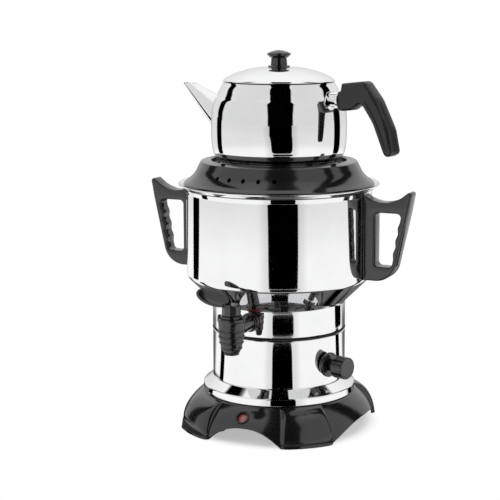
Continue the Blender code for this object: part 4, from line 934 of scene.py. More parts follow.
def make_cover():
    """The black cover on the tank: a flared ring with the teapot's recess and five vent holes."""
    recess_floor = pot_floor - gap
    hole = recess_radius - recess_ledge
    shoulder = cover_top - shoulder_drop
    rim = recess_radius + cover_rim_width
    edge = lip_height - cover_edge_drop
    across, down = cover_radius - rim, shoulder - edge
    points = [Vector((rim + across * out, shoulder - down * drop)) for out, drop in cover_flank_shares]
    flank = smooth_line(points, cover_flank_steps)[cover_flank_start:]
    top = rounded([
        (recess_radius - recess_run_in, recess_floor, 0),
        (recess_radius, recess_floor, recess_floor_round),
        (recess_radius, cover_top, recess_top_round),
        (rim, shoulder, shoulder_round),
        (flank[0].x, flank[0].y, 0),
    ])
    spigot = tank_radius - tank_steel - spigot_play
    seat = edge + cover_seat_rise
    under = [(cover_radius, edge + cover_edge), (cover_radius - cover_edge, edge),
             (spigot, seat - cover_seat_slope), (spigot, cover_low), (spigot - cover_wall, cover_low)]
    inside = [(point.x - cover_wall, point.y - cover_wall / 2) for point in reversed(flank)]
    inside += [(rim - cover_wall, shoulder - cover_wall),
               (recess_radius + cover_wall, cover_top - cover_wall),
               (recess_radius + cover_wall, recess_floor - cover_wall),
               (hole, recess_floor - cover_wall), (hole, recess_floor)]
    cover = turned("cover_ring", top[1:-1] + flank + under + inside)
    rods = grown("vent_rods", row_of_rods, "gloss_black", count=vent_count, spacing=vent_spacing,
                 sides=small_sides, radius=vent_radius, length=vent_length, reach=vent_reach,
                 height=cover_top - vent_drop)
    dress(cut(cover, rods), "neck_cover", "gloss_black", "neck_cover")


# Teapot's body: how finely its side is drawn, and the painted shade under the lid's edge
pot_side_steps = 6
pot_painted_shade = 0.85
pot_painted_shade_reach = 0.0008


def pot_line():
    """The outside of the teapot from its rim to the middle of its bottom."""
    height = pot_rim - pot_floor
    side = [Vector((pot_radius * share, pot_rim - height * drop)) for share, drop in pot_side_shares]
    return smooth_line(side, pot_side_steps) + [side[-1], Vector((0, pot_floor))]


def make_pot():
    """The teapot's body."""
    pot = turned("pot_vessel", wall_outline(pot_line(), pot_steel), closed=False)
    # Painted shade: the rim's top turns near black, standing in for the shadow under the lid's edge.
    paint_shade(pot, lambda place: pot_painted_shade if place.z > pot_rim - pot_painted_shade_reach else 0.0)
    dress(pot, "teapot", "polished_steel", "teapot_body")


def pot_reach(height):
    """Radius of the teapot's outside at a height."""
    line = pot_line()
    for above, below in zip(line, line[1:]):
        if below.y <= height <= above.y:
            share = (above.y - height) / max(above.y - below.y, merge_distance)
            return above.x + (below.x - above.x) * share
    return line[0].x


# Spout
spout_root_reach = 0.0600
spout_root_height = 0.0391
spout_root_radius = 0.0248
spout_tip_reach = 0.1416
spout_tip_drop = 0.0010
spout_tip_radius = 0.0030
spout_mouth_drop = 0.0062
spout_sunk = 0.0006
spout_steel = 0.0009
spout_flare = 0.0016
spout_flare_fall = 22
spout_fold_reach = 0.0001
spout_fold_back = 0.0002
spout_fold_rise = 0.0003
spout_rows = 24
spout_root_tries = 200


def spout_root_share(low, last):
    """Where a line along the spout comes out of the teapot, as a share of its length."""
    for step in range(spout_root_tries):
        point = low.lerp(last, step / spout_root_tries)
        if math.hypot(point.x, point.y) > pot_reach(point.z) - spout_sunk:
            return step / spout_root_tries
    return 0.0


def make_spout():
    """The straight tapering spout, open at its level mouth, with a folded lip."""
    start = outward(spout_angle) * spout_root_reach + up * (pot_floor + spout_root_height)
    end = outward(spout_angle) * spout_tip_reach + up * (pot_rim - spout_tip_drop)
    direction = (end - start).normalized()
    mouth = pot_rim - spout_mouth_drop
    across = up.cross(direction).normalized()
    above = direction.cross(across)
    lines = []
    for turn in turns(part_sides):
        arm = across * math.cos(turn) + above * math.sin(turn)
        low = start + arm * spout_root_radius
        high = end + arm * spout_tip_radius
        last = low.lerp(high, min(1.0, (mouth - low.z) / (high.z - low.z)))
        lines.append((low.lerp(last, spout_root_share(low, last)), last, arm))
    fold = direction * spout_fold_back
    outside, inside = [], []
    for step in range(spout_rows + 1):
        share = step / spout_rows
        flare = spout_flare * math.exp(-share * spout_flare_fall)
        outside.append([root.lerp(tip, share) + arm * flare for root, tip, arm in lines])
        inside.append([root.lerp(tip, share) + arm * (flare - spout_steel) for root, tip, arm in lines])
    lip = [tip + arm * spout_fold_reach - fold + up * spout_fold_rise for root, tip, arm in lines]
    sections = outside + [lip] + inside[::-1]
    spout = lofted("pot_spout", sections + sections[:1], closed_ends=False)
    dress(spout, "teapot", "polished_steel", "teapot_spout")


# Lid: the dome's points are shares of its radius and of its rise above the edge
lid_edge_rise = 0.0012
lid_hole = 0.0023
lid_dome_shares = ((0.0, 1.0), (0.23, 0.975), (0.50, 0.865), (0.76, 0.545), (0.90, 0.27), (0.985, 0.045))
lid_dome_steps = 8
lid_bead = 0.0006
lid_bead_steps = 8
lid_spigot_play = 0.0013
lid_steel = 0.0009
lid_underside_inset = 0.0003
lid_underside_end = 0.0020
# Painted shade along the lid's lower edge: how dark it is, and how high it reaches
lid_painted_shade = 0.90
lid_painted_shade_reach = 0.0005


def make_lid():
    """The domed lid with its rolled edge, and the spigot that goes into the neck."""
    low, high = height_of("teapot_lid")
    seat = pot_rim + gap
    edge = seat + lid_edge_rise
    rise = high - edge
    points = [Vector((max(lid_radius * out, lid_hole), edge + rise * share))
              for out, share in lid_dome_shares]
    dome = smooth_line(points, lid_dome_steps)
    bead = []
    for step in range(lid_bead_steps + 1):
        turn = math.pi / 2 - math.pi * step / lid_bead_steps
        out = lid_radius - lid_bead + lid_bead * math.cos(turn)
        bead.append((out, seat + lid_bead + lid_bead * math.sin(turn)))
    spigot = pot_neck - pot_steel - lid_spigot_play
    under = [(spigot, seat), (spigot, low), (spigot - lid_steel, low), (spigot - lid_steel, seat)]
    inside = [(max(point.x - lid_underside_inset, lid_hole), point.y - lid_steel)
              for point in reversed(dome) if point.x < spigot - lid_underside_end]
    lid = turned("lid_dome", dome + bead + under + inside)
    # Painted shade: the lid's lower edge turns near black, standing in for the shadow in the gap over the rim.
    paint_shade(lid, lambda place: lid_painted_shade if place.z < seat + lid_painted_shade_reach else 0.0)
    dress(lid, "lid", "polished_steel", "teapot_lid")


# Lid knob: the crown's points are shares of its radius and drops below its top
knob_crown = ((0.0, 0.0), (0.35, 0.0006), (0.80, 0.0025), (1.0, 0.0047), (0.80, 0.0078))
knob_crown_steps = 8
knob_crown_end = 0.0092
knob_stem_start = 0.0096
knob_stem_top = 0.0090
knob_stem_foot = 0.0098
knob_stem_round = 0.0008
knob_flange = 0.0129
knob_flange_height = 0.0012
knob_flange_round = 0.0005
knob_bore = lid_hole
knob_bore_depth = 0.0095


def make_lid_knob():
    """The lid's knob: a domed cap on a stem with a thin flange."""
    low, high = height_of("lid_knob")
    cap = radius_of("lid_knob")
    flange_top = low + knob_flange_height
    crown = [Vector((cap * share, high - drop)) for share, drop in knob_crown]
    crown.append(Vector((knob_stem_top, high - knob_crown_end)))
    foot = rounded([
        (knob_stem_top, high - knob_stem_start, 0), (knob_stem_foot, flange_top, knob_stem_round),
        (knob_flange, flange_top, knob_flange_round), (knob_flange, low, 0), (knob_bore, low, 0),
        (knob_bore, low + knob_bore_depth, 0), (0, low + knob_bore_depth, 0)], few_steps)
    knob = turned("lid_grip", smooth_line(crown, knob_crown_steps) + foot, part_sides, closed=False)
    dress(knob, "lid", "gloss_black", "lid_knob")


def plate(name, outlines, thickness, edge, steps=5):
    """A flat moulded piece in its own XY plane with round rims; later outlines are holes."""
    work = bmesh.new()
    profile = []
    for step in range(steps + 1):
        turn = math.pi / 2 * step / steps
        profile.append((edge * (1 - math.cos(turn)), thickness / 2 - edge + edge * math.sin(turn)))
    profile = [(inset, -height) for inset, height in reversed(profile)] + profile
    caps = [[], []]
    for number, outline in enumerate(outlines):
        count = len(outline)
        area = sum(outline[n - 1].cross(outline[n]) for n in range(count))
        sign = (1 if area > 0 else -1) * (-1 if number else 1)
        insides = []
        for index, here in enumerate(outline):
            along = (outline[(index + 1) % count] - outline[index - 1]).normalized()
            insides.append(Vector((-along.y, along.x)) * sign)
        rings = []
        for inset, height in profile:
            rings.append([work.verts.new((*(here + inside * inset), height))
                          for here, inside in zip(outline, insides)])
        for here, after in zip(rings, rings[1:]):
            for index in range(count):
                beside = (index + 1) % count
                work.faces.new((here[index], here[beside], after[beside], after[index]))
        for cap, ring in zip(caps, (rings[0], rings[-1])):
            cap.extend(work.edges.get((ring[index], ring[index - 1])) for index in range(count))
    for cap in caps:
        bmesh.ops.triangle_fill(work, use_beauty=True, edges=cap)
    return new_piece(name, work)


def tank_reach(height):
    """Radius of the tank's outside at a height on its wall or its flare."""
    if height > neck_height:
        return tank_radius + flare_reach * min(1.0, (height - neck_height) / flare_rise)
    return tank_radius


# Side handles: reaches are measured from the tank's wall
handle_drop = 0.0082
handle_foot_rise = 0.0025
handle_thickness = 0.0190
handle_edge = 0.0022
horn_reach = 0.0593
horn_rise = 0.0012
horn_round = 0.0030
saddle_reach = 0.0298
saddle_drop = 0.0192
saddle_steps = 26
saddle_start = 6
grip_foot_reach = 0.0362
grip_top_reach = 0.0539
grip_round = 0.0260
grip_foot_inset = 0.0012
grip_top_inset = 0.0077
window_reach = 0.0143
window_top_drop = 0.0198
window_foot_rise = 0.0170
window_round = 0.0050
hollow_count = 3
hollow_depth = 0.0014
hollow_percents = (14, 86)
outline_steps = 14
window_steps = 8
outline_spacing = 0.0012
window_spacing = 0.0010


def side_handle_saddle(horn, low, end):
    """The hollow top edge between the horn and the tank, as corners without a radius."""
    corners = []
    for step in range(saddle_start, saddle_steps):
        share = step / saddle_steps
        point = horn * (1 - share) ** 2 + low * 2 * share * (1 - share) + end * share ** 2
        corners.append((*point, 0))
    return corners


def finger_hollows(lower, upper):
    """The waved inner edge of the grip, as corners without a radius."""
    corners = []
    first, last = hollow_percents
    begin, span = first / 100, (last - first) / 100
    for percent in range(first, last + 1):
        share = percent / 100
        wave = hollow_depth * (math.cos((share - begin) / span * hollow_count * math.tau) - 1) / 2
        point = lower.lerp(upper, share)
        corners.append((point.x + wave, point.y, 0))
    return corners


def make_side_handle(name, angle, node):
    """A side handle: horn, hollow top edge, grip with finger hollows, and a spine on the tank."""
    top = lip_height - handle_drop
    bottom = tank_wall_bottom + handle_foot_rise
    horn = Vector((tank_radius + horn_reach, lip_height + horn_rise))
    low = Vector((tank_radius + saddle_reach, top - saddle_drop))
    end = Vector((tank_radius, top))
    window_top, window_bottom = top - window_top_drop, bottom + window_foot_rise
    grip_foot, grip_top = tank_radius + grip_foot_reach, tank_radius + grip_top_reach
    corners = [(*horn, horn_round)] + side_handle_saddle(horn, low, end) + [
        (*end, 0), (tank_radius, bottom, 0),
        (grip_foot, bottom, grip_round),
        (grip_top, window_top, grip_round),
    ]
    outline = even_line(rounded(corners, outline_steps), outline_spacing)
    inner = tank_radius + window_reach
    lower = Vector((grip_foot - grip_foot_inset, window_bottom))
    upper = Vector((grip_top - grip_top_inset, window_top))
    corners = [(inner, window_top, window_round), (inner, window_bottom, window_round),
               (*lower, window_round)] + finger_hollows(lower, upper) + [(*upper, window_round)]
    window = even_line(rounded(corners, window_steps), window_spacing)
    handle = plate(name, [outline, window], handle_thickness, handle_edge)
    for vertex in handle.data.vertices:
        reach, height, across = vertex.co
        least = math.sqrt(tank_reach(height) ** 2 - across ** 2) + gap
        if reach < least:
            vertex.co.x = least
    handle.data.update()
    moved(handle, upright(angle))
    dress(handle, "base", "gloss_black", node)


def even_line(points, step):
    """A closed line with its points spaced about evenly."""
    line = []
    count = len(points)
    for index, here in enumerate(points):
        after = points[(index + 1) % count]
        pieces = max(1, round((after - here).length / step))
        line.extend(here.lerp(after, n / pieces) for n in range(pieces))
    clean = []
    for point in line:
        if not clean or (point - clean[-1]).length > step / 4:
            clean.append(point)
    return clean


# Teapot handle: its ferrule, and the box that its outline's shares fill
ferrule_drop = 0.0187
ferrule_reach = 0.0064
ferrule_sunk = 0.0040
ferrule_radius = 0.0098
ferrule_neck = 0.0094
ferrule_band = 0.0030
ferrule_band_end = 0.0034
ferrule_round = 0.0009
pot_grip_length = 0.0740
pot_grip_height = 0.0845
pot_grip_drop = 0.0615
pot_grip_thickness = 0.0210
pot_grip_edge = 0.0040
pot_grip_steps = 10
groove_radius = 0.0009
groove_steps = 10
groove_sides = 10
groove_lead = 0.6
groove_spare = 0.2
groove_end_power = 0.3


def make_pot_handle():
    """The steel ferrule on the teapot and its black handle with grooves along the grip."""
    ferrule_height = pot_rim - ferrule_drop
    end = pot_radius + ferrule_reach
    start = pot_reach(ferrule_height) - ferrule_sunk
    ferrule = lathed("handle_socket", [
        (0, end, 0), (ferrule_radius, end, ferrule_round), (ferrule_radius, end - ferrule_band, 0),
        (ferrule_neck, end - ferrule_band_end, 0), (ferrule_neck, start, 0), (0, start, 0)])
    moved(ferrule, facing(outward(pot_handle_angle)), up * ferrule_height)
    dress(ferrule, "teapot", "polished_steel", "handle_ferrule")
    begin, bottom = end + gap, ferrule_height - pot_grip_drop
    corners = [(begin + pot_grip_length * x, bottom + pot_grip_height * y, pot_grip_height * r)
               for x, y, r in pot_grip_shares]
    outline = even_line(rounded(corners, pot_grip_steps), outline_spacing)
    handle = plate("pot_grip", [outline], pot_grip_thickness, pot_grip_edge)
    grooves = []
    for shares in pot_groove_shares:
        path = [Vector((begin + pot_grip_length * x, bottom + pot_grip_height * y)) for x, y in shares]
        grooves += [wire("groove", path, side * pot_grip_thickness / 2, groove_radius) for side in (-1, 1)]
    cut(handle, *grooves)
    moved(handle, upright(pot_handle_angle))
    dress(handle, "teapot", "matte_black", "teapot_handle")


def wire(name, path, height, radius):
    """A round wire along a smooth path at one height, for cutting a groove."""
    line = smooth_line(path, groove_steps) + [path[-1]]
    sections = []
    for index, here in enumerate(line):
        along = (line[min(index + 1, len(line) - 1)] - line[max(index - 1, 0)]).normalized()
        beside = Vector((-along.y, along.x, 0))
        share = math.sin(math.pi * (index + groove_lead) / (len(line) + groove_spare))
        taper = radius * share ** groove_end_power
        arms = (beside * math.cos(turn) + up * math.sin(turn) for turn in turns(groove_sides))
        sections.append([Vector((*here, height)) + arm * taper for arm in arms])
    return lofted(name, sections)


# Thermostat: the knob's low, drum and end are reaches from the samovar's axis
bezel_rise = 0.0016
bezel_radius = 0.0146
bezel_bore = 0.0051
bezel_round = 0.0010
bezel_sunk = 0.0002
heat_low = 0.0829
heat_drum = 0.0915
heat_end = 0.1072
heat_radius = 0.0133
heat_hub = 0.0072
heat_dish = 0.0003
heat_dish_inset = 0.0034
heat_dish_round = 0.0006
heat_ridge_inset = 0.0026
heat_ridge_round = 0.0004
heat_end_inset = 0.0004
heat_end_round = 0.0012
heat_drum_round = 0.0010
heat_hub_round = 0.0006
heat_low_round = 0.0003
heat_bore = 0.0033
heat_bore_depth = 0.0180


def make_thermostat():
    """The thermostat's bezel and its knob."""
    foot = up * middle("thermostat_knob").z
    turn = facing(outward(thermostat_angle))
    top = tube_radius + gap + bezel_rise
    start = math.sqrt(tube_radius ** 2 - bezel_radius ** 2) - bezel_sunk
    bezel = lathed("knob_bezel", [
        (bezel_bore, top, 0), (bezel_radius, top, bezel_round), (bezel_radius, start, 0),
        (bezel_bore, start, 0)], closed=True)
    dress(moved(bezel, turn, foot), "base", "gloss_black", "thermostat_bezel")
    knob = lathed("heat_knob", [
        (0, heat_end - heat_dish, 0),
        (heat_radius - heat_dish_inset, heat_end - heat_dish, heat_dish_round),
        (heat_radius - heat_ridge_inset, heat_end, heat_ridge_round),
        (heat_radius - heat_end_inset, heat_end, heat_end_round), (heat_radius, heat_drum, heat_drum_round),
        (heat_hub, heat_drum, heat_hub_round), (heat_hub, heat_low, heat_low_round),
        (heat_bore, heat_low, 0), (heat_bore, heat_low + heat_bore_depth, 0),
        (0, heat_low + heat_bore_depth, 0)])
    dress(moved(knob, turn, foot), "thermostat_knob", "gloss_black", "thermostat_knob")


# Tap: heights of the nozzle are measured from the pipe's middle
tap_drop = 0.0125
tap_reach = 0.0515
nozzle_rise = 0.0155
nozzle_drop = 0.0265
belt_rise = 0.0080
belt_lap = 0.0010
nozzle_bore = 0.0092
nozzle_bore_drop = 0.0090
nozzle_outlet = 0.0040
nozzle_rim = 0.0158
nozzle_rim_height = 0.0030
nozzle_rim_round = 0.0006
nozzle_waist = 0.0146
nozzle_neck_reach = 0.0004
nozzle_neck_drop = 0.0042
nozzle_neck_round = 0.0005
nozzle_mouth = 0.0062
nozzle_mouth_edge = 0.0010
nozzle_closing_share = 0.97
nozzle_rows = 16
rib_count = 5
rib_half = 0.0012
rib_proud_share = 0.075
rib_sides = 12
pipe_bore = 0.0042
pipe_radius = 0.0086
pipe_lap = 0.0100
pipe_round = 0.0012
collar_radius = 0.0112
collar_length = 0.0030
collar_round = 0.0008
ear_radius = 0.0024
ear_rise = 0.0024
ear_sunk = 0.0030
ear_inset = 0.0012
ear_round = 0.0008
ear_sides = 24
ear_steps = 3
washer_bore = 0.0065
washer_radius = 0.0104
washer_thickness = 0.0016
washer_sunk = 0.0006
washer_round = 0.0006
bonnet_bore = 0.0044
bonnet_radius = 0.0122
bonnet_height = 0.0026
bonnet_round = 0.0010

# Lever: the dish is in shares of the paddle's half thickness and half width
hub_rise = 0.0155
hub_radius = 0.0108
hub_top_round = 0.0026
hub_foot_round = 0.0006
hub_sides = 10
paddle_length = 0.0450
paddle_width = 0.0205
paddle_thickness = 0.0070
paddle_reach = 0.0215
paddle_rise = 0.0060
paddle_lean = math.radians(28)
paddle_tilt = math.radians(11)
paddle_rows = 28
paddle_sides = 72
dish_depth_share = 1.25
dish_radius_share = 0.84
dish_power = 0.75


def nozzle_corners(tap_height, top, bottom, belt, depth):
    """The nozzle's outline: rim, belt, the rounded cup under it and the bore."""
    corners = [
        (nozzle_bore, top, 0),
        (nozzle_rim, top, nozzle_rim_round),
        (nozzle_rim, top - nozzle_rim_height, nozzle_rim_round),
        (nozzle_waist + nozzle_neck_reach, top - nozzle_neck_drop, nozzle_neck_round),
        (nozzle_waist, belt + belt_lap, 0),
    ]
    for step in range(1, nozzle_rows + 1):
        share = step / nozzle_rows
        curve = math.sqrt(1 - (share * nozzle_closing_share) ** 2)
        corners.append((nozzle_mouth + (nozzle_waist - nozzle_mouth) * curve, belt - depth * share, 0))
    corners.append((corners[-1][0] - nozzle_mouth_edge, bottom, 0))
    return corners + [
        (nozzle_outlet, bottom, 0),
        (nozzle_outlet, tap_height - nozzle_bore_drop, 0),
        (nozzle_bore, tap_height - nozzle_bore_drop, 0),
    ]


def make_tap():
    """The tap: ribbed nozzle on its pipe, bonnet, washer, and the lever with its oval paddle."""
    tap_height = cone_bottom - tap_drop
    reach = tube_radius + tap_reach
    place = outward(front) * reach
    forward = facing(outward(front))
    top, bottom, belt = tap_height + nozzle_rise, tap_height - nozzle_drop, tap_height + belt_rise
    depth = belt - bottom - rib_half
    nozzle = lathed("tap_nozzle", nozzle_corners(tap_height, top, bottom, belt, depth), steps=few_steps,
                    closed=True)
    moved(nozzle, place=place)
    ring = turned("rib_ring", [(1 + rib_proud_share * math.cos(turn), rib_half * math.sin(turn))
                               for turn in turns(rib_sides)], part_sides)
    ribs = grown("tap_ribs", stack_of_ribs, "gloss_black", ring=ring, count=rib_count, depth=depth,
                 waist=nozzle_waist, mouth=nozzle_mouth, closing=nozzle_closing_share)
    bpy.data.objects.remove(ring, do_unlink=True)
    dress(moved(ribs, place=place + up * belt), "base", "gloss_black")
    seat = tube_radius + gap * 2 + washer_thickness
    pipe = lathed("tap_pipe", [
        (pipe_bore, reach - pipe_lap, 0), (pipe_radius, reach - pipe_lap, 0),
        (pipe_radius, seat + collar_length, pipe_round),
        (collar_radius, seat + collar_length, collar_round), (collar_radius, seat, 0),
        (pipe_bore, seat, 0)], steps=few_steps, closed=True)
    moved(pipe, forward, up * tap_height)
    ears = []
    for side in (-1, 1):
        ear = lathed("ear", [(0, top + ear_rise, 0), (ear_radius, top + ear_rise, ear_round),
                             (ear_radius, top - ear_sunk, 0), (0, top - ear_sunk, 0)], ear_sides, ear_steps)
        ears.append(moved(ear, place=place + sideways * side * (nozzle_rim - ear_inset)))
    fuse(nozzle, pipe, *ears)
    dress(nozzle, "base", "gloss_black", "tap_body")
    washer = lathed("washer_ring", [
        (washer_bore, seat - gap, 0), (washer_radius, seat - gap, washer_round),
        (washer_radius, tube_radius - washer_sunk, 0), (washer_bore, tube_radius - washer_sunk, 0)],
        steps=few_steps, closed=True)
    dress(moved(washer, forward, up * tap_height), "base", "dark_red", "tap_washer")
    low = top + gap
    high = low + bonnet_height
    bonnet = lathed("tap_cap", [
        (bonnet_bore, high, 0), (bonnet_radius, high, bonnet_round), (bonnet_radius, low, 0),
        (bonnet_bore, low, 0)], steps=few_steps, closed=True)
    dress(moved(bonnet, place=place), "base", "gloss_black", "tap_bonnet")
    make_lever(top + gap * 2 + bonnet_height, top + hub_rise, place)


def make_lever(seat, top, place):
    """The lever's hub and its oval paddle, dished on its face."""
    hub = lathed("tap_handle", [(0, top, 0), (hub_radius, top, hub_top_round),
                                (hub_radius, seat, hub_foot_round), (0, seat, 0)], hub_sides)
    long, wide, thick = paddle_length / 2, paddle_width / 2, paddle_thickness / 2
    work = bmesh.new()
    rings = []
    for row in range(paddle_rows + 1):
        lift = math.pi * row / paddle_rows
        ring = []
        for turn in turns(paddle_sides):
            x = math.sin(lift) * math.cos(turn)
            y = math.sin(lift) * math.sin(turn)
            z = math.cos(lift)
            radial = math.hypot(x, y)
            if z > 0:
                z -= dish_depth_share * max(0.0, 1 - (radial / dish_radius_share) ** 2) ** dish_power
            ring.append(work.verts.new((x * long, y * wide, z * thick)))
        rings.append(ring)
    for here, after in zip(rings, rings[1:]):
        for side in range(paddle_sides):
            beside = (side + 1) % paddle_sides
            work.faces.new((here[side], here[beside], after[beside], after[side]))
    paddle = new_piece("paddle", work)
    lean = Matrix.Rotation(math.pi / 2 - paddle_lean, 4, "X")
    tilt = Matrix.Rotation(paddle_tilt, 4, "Y")
    paddle.data.transform(Matrix.Translation((-paddle_reach, 0, top + paddle_rise)) @ tilt @ lean)
    fuse(hub, paddle)
    dress(moved(hub, place=place), "tap_lever", "gloss_black", "tap_lever")


# Rubber feet
pad_reach = 0.0850
pad_radius = 0.0100
pad_height = 0.0027
pad_round = 0.0008
pad_stem = 0.0030
pad_stem_round = 0.0006


def make_feet():
    """The four rubber feet."""
    for corner, angle in zip(corner_names, foot_angles):
        node = "rubber_foot_" + corner
        low, high = height_of(node)
        foot = lathed("foot_pad_" + corner, [
            (0, high, 0), (pad_stem, high, pad_stem_round), (pad_stem, pad_height, 0),
            (pad_radius, pad_height, 0), (pad_radius, low, pad_round), (0, low, 0)], small_sides, few_steps)
        moved(foot, place=outward(angle) * pad_reach)
        dress(foot, "base", "rubber", node)


def finish_nodes():
    """Gives every solid that still shows its finish."""
    slots = {entry["node"]: entry["material_slot"] for entry in frame["record"]["subparts"]}
    for name, node in frame["nodes"].items():
        node.data.materials.clear()
        node.data.materials.append(finishes[slots[name]])


# The camera: where it stands round the samovar, how far and how high it looks
camera_azimuth = math.radians(24)
camera_pitch = math.radians(10.2)
camera_distance = 1.661
camera_aim_height = 0.210
camera_lens = 100
sensor_width = 36
picture_size = 500
axis_pixel = 279

# What polished steel mirrors: the bearing and the half width of a black strip round the samovar, in
# degrees from the camera to its right, and the reach on the floor where it begins and ends
floor_strips = (
    (5.0, 15.5, 0.200, 0.553),
    (6.5, 16.9, 0.577, 0.735),
    (-106.0, 6.0, 0.120, 0.560),
    (114.0, 6.0, 0.120, 0.560),
    (118.0, 10.5, 0.565, 0.850),
    (-120.5, 8.0, 0.900, 60.0),
    (115.2, 9.5, 0.900, 60.0),
)
tank_strip = (4.9, 17.6)
pot_strip = (2.6, 18.6)
tank_strip_begins = 0.80
tank_strip_turns = 1.30
pot_strip_begins = 3.50
strips_end = 60.0
sky_strips = ((-119.0, 7.5), (115.2, 9.5))
sky_strip_end = (0.84, 0.93)
sky_band_middle = 0.035
sky_band_half = 0.355
sky_band_narrowing = 0.19
sky_band_narrow_from = 0.60
sky_band_past_zenith = (-0.20, -0.12)
strip_corner = 8
strip_edge = (0.85, 1.25)
band_edge = (0.97, 1.05)
glow_half = 14.0
glow_depth = 0.22
near_edge_bearing = (128.0, 140.0)
far_edge_bearing = (146.0, 180.0)
edge_reach = (0.56, 0.90)
near_edge_depth = 0.86
far_edge_depth = 0.72
floor_tones = ((1.1, 2.1, 0.19), (2.3, 6.0, 0.06))
sky_tone = 0.74
sky_tone_end = (0.78, 0.95)
sky_front_bearing = (90.0, 130.0)
back_sky_rise = (0.10, 0.85)
back_sky_depth = 0.22
far_edge_rise = (0.0, 0.07)
near_floor_reach = (0.165, 0.200)
near_floor_depth = 0.88
side_floor_bearing = (100.0, 112.0)
side_floor_reach = (0.262, 0.285)
side_floor_depth = 0.85
floor_white_reach = (0.098, 0.126)
floor_grey = 0.93
shadow_fill = 0.45
floor_size = 12
floor_squares = 8
soft_light = 0.55

# Lamps: name, place, width and power
lamps = (
    ("top_lamp", (0, 0, 1.9), 1.6, 16),
    ("left_lamp", (-1.5, -1.2, 1.1), 1.0, 8),
    ("right_lamp", (1.6, -0.6, 1.0), 1.0, 6),
)


def make_camera():
    """The camera at the photograph's place."""
    data = bpy.data.cameras.new("camera")
    data.lens = camera_lens
    data.sensor_width = sensor_width
    data.shift_x = (picture_size / 2 - axis_pixel) / picture_size
    camera = bpy.data.objects.new("camera", data)
    level = outward(camera_azimuth)
    arm = level * math.cos(camera_pitch) + up * math.sin(camera_pitch)
    camera.location = axis + up * camera_aim_height + arm * camera_distance
    camera.rotation_euler = arm.to_track_quat("Z", "Y").to_euler()
    bpy.context.scene.collection.objects.link(camera)
    bpy.context.scene.camera = camera


def ahead_and_across(x, y):
    """How far a level direction points to the camera, and how far to its right."""
    toward = outward(camera_azimuth)
    beside = outward(camera_azimuth + math.pi / 2)
    return x * toward.x + y * toward.y, x * beside.x + y * beside.y


def bearing_of(x, y):
    """The bearing of a level direction from the camera to its right, in degrees."""
    ahead, across = ahead_and_across(x, y)
    return across.maths("ARCTAN2", across, ahead) * math.degrees(1)


def unsigned(value):
    """A value without its sign."""
    return value.maths("ABSOLUTE", value)


def strip_on_sky(shading, bearing, middle, half):
    """1 inside a black strip of the sky, 0 outside it."""
    return shading.ease(unsigned(bearing - middle) / half, *strip_edge, 1.0, 0.0)


def strip_on_floor(shading, bearing, reach, middle, half, begin, end):
    """1 inside a black strip of the floor, which ends in round corners, and 0 outside it."""
    across = unsigned((bearing - middle) / half)
    centre = math.log(begin * end) / 2
    span = math.log(end / begin) / 2
    along = unsigned((reach.maths("LOGARITHM", reach, math.e) - centre) / span)
    return shading.ease(across ** strip_corner + along ** strip_corner, *strip_edge, 1.0, 0.0)


def most(values):
    """The greatest of some values."""
    first = values[0]
    for value in values[1:]:
        first = first.maths("MAXIMUM", first, value)
    return first


def glow(shading, bearing, middle, half):
    """How much the bright field dims beside its middle strip."""
    off = unsigned(bearing - middle)
    return 1 - shading.ease(off, half, half + glow_half, glow_depth, 0.0)


def mirrored_floor(shading, x, y):
    """What polished steel sees in the floor: a bright field with black strips, darker behind."""
    bearing = bearing_of(x, y)
    reach = (x * x + y * y) ** 0.5
    share = shading.ease(reach, tank_strip_turns, pot_strip_begins)
    middle = share * (pot_strip[0] - tank_strip[0]) + tank_strip[0]
    half = share * (pot_strip[1] - tank_strip[1]) + tank_strip[1]
    dark = [strip_on_floor(shading, bearing, reach, *strip) for strip in floor_strips]
    dark.append(strip_on_floor(shading, bearing, reach, middle, half, tank_strip_begins, strips_end))
    off = unsigned(bearing)
    far = shading.ease(reach, *edge_reach)
    near_edge = shading.ease(off, *near_edge_bearing, 0.0, near_edge_depth) * (1 - far)
    far_edge = shading.ease(off, *far_edge_bearing, 0.0, far_edge_depth) * far
    tone = (1 - near_edge) * (1 - far_edge) * glow(shading, bearing, middle, half)
    tone = tone * shading.ease(reach, *near_floor_reach, 1.0 - near_floor_depth, 1.0)
    side = shading.ease(reach, *side_floor_reach, side_floor_depth, 0.0)
    tone = tone * (1 - shading.ease(off, *side_floor_bearing) * side)
    for begin, end, loss in floor_tones:
        tone = tone * shading.ease(reach, begin, end, 1.0, 1.0 - loss)
    return tone * (1 - most(dark))


def mirrored_sky(shading, x, y, z):
    """What polished steel sees above the floor: pale grey with black strips, white overhead and behind."""
    bearing = bearing_of(x, y)
    off = unsigned(bearing)
    dark = most([strip_on_sky(shading, bearing, *strip) for strip in sky_strips])
    dark = dark * shading.ease(z, *sky_strip_end, 1.0, 0.0)
    ahead, across = ahead_and_across(x, y)
    half = shading.node("ShaderNodeMapRange", values=(
        z, sky_band_narrow_from, 1.0, sky_band_half, sky_band_half - sky_band_narrowing))
    band = shading.ease(unsigned(across - sky_band_middle) / half, *band_edge, 1.0, 0.0)
    dark = most([dark, band * shading.ease(ahead, *sky_band_past_zenith)])
    far_edge = shading.ease(off, *far_edge_bearing, 0.0, far_edge_depth)
    far_edge = far_edge * shading.ease(z, *far_edge_rise, 1.0, 0.0)
    in_front = shading.ease(off, *sky_front_bearing, 1.0, 0.0)
    tone = 1 - in_front * shading.ease(z, *sky_tone_end, 1.0 - sky_tone, 0.0)
    tone = tone - (1 - in_front) * shading.ease(z, *back_sky_rise, back_sky_depth, 0.0)
    return tone * (1 - far_edge) * (1 - dark)


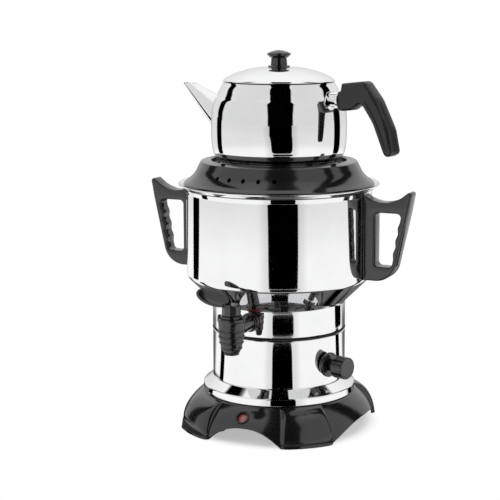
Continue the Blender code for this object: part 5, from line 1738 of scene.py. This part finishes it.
def make_world():
    """White surroundings: full strength to the eye and to gloss, softer as light."""
    world = bpy.data.worlds.new("studio")
    bpy.context.scene.world = world
    world.use_nodes = True
    tree = world.node_tree
    tree.nodes.clear()
    shading = Shading(tree)
    direction = shading.node("ShaderNodeTexCoord", output="Generated")
    x, y, z = shading.parts(direction)
    glossy, camera = shading.rays("Glossy"), shading.rays("Camera")
    level = soft_light * (1 - glossy) + glossy * mirrored_sky(shading, x, y, z) + camera * (1 - soft_light)
    light = shading.node("ShaderNodeBackground", values={"Color": (1, 1, 1, 1), "Strength": level})
    shading.end("ShaderNodeOutputWorld", light)


def make_floor():
    """A pale floor that keeps the shadow close to the samovar and turns plain white further out."""
    work = bmesh.new()
    bmesh.ops.create_grid(work, x_segments=floor_squares, y_segments=floor_squares, size=floor_size)
    floor = new_piece("floor", work)
    material = bpy.data.materials.new("floor")
    material.use_nodes = True
    tree = material.node_tree
    tree.nodes.clear()
    shading = Shading(tree)
    x, y, z = shading.parts(shading.place())
    y = y - axis.y
    reach = (x * x + y * y) ** 0.5
    far = shading.ease(reach, *floor_white_reach)
    glossy, camera = shading.rays("Glossy"), shading.rays("Camera")
    matt = shading.node("ShaderNodeBsdfDiffuse", values={"Color": (floor_grey, floor_grey, floor_grey, 1)})
    level = 1 - glossy * (1 - mirrored_floor(shading, x, y))
    plain = shading.node("ShaderNodeEmission", values={"Strength": level})
    share = glossy.maths("MAXIMUM", glossy, camera * (shadow_fill + far * (1 - shadow_fill)))
    mixed = shading.node("ShaderNodeMixShader", values=(share, matt, plain))
    shading.end("ShaderNodeOutputMaterial", mixed)
    floor.data.materials.append(material)


def make_light(name, place, size, power):
    """A soft square lamp that looks at the samovar and doesn't show in the steel."""
    data = bpy.data.lights.new(name, "AREA")
    data.shape = "SQUARE"
    data.size = size
    data.energy = power
    lamp = bpy.data.objects.new(name, data)
    lamp.location = Vector(place)
    aim = Vector(place) - axis - up * camera_aim_height
    lamp.rotation_euler = aim.to_track_quat("Z", "Y").to_euler()
    lamp.visible_glossy = False
    bpy.context.scene.collection.objects.link(lamp)


make_camera()
make_world()
make_floor()
for lamp in lamps:
    make_light(*lamp)
finish_nodes()
make_base()
make_feet()
make_lamp()
make_housing()
make_gasket()
make_tank()
make_side_handle("right_handle", right, "side_handle_right")
make_side_handle("left_handle", left, "side_handle_left")
make_thermostat()
make_tap()
make_cover()
make_pot()
make_spout()
make_pot_handle()
make_lid()
make_lid_knob()

bpy.context.scene.view_settings.view_transform = "Standard"
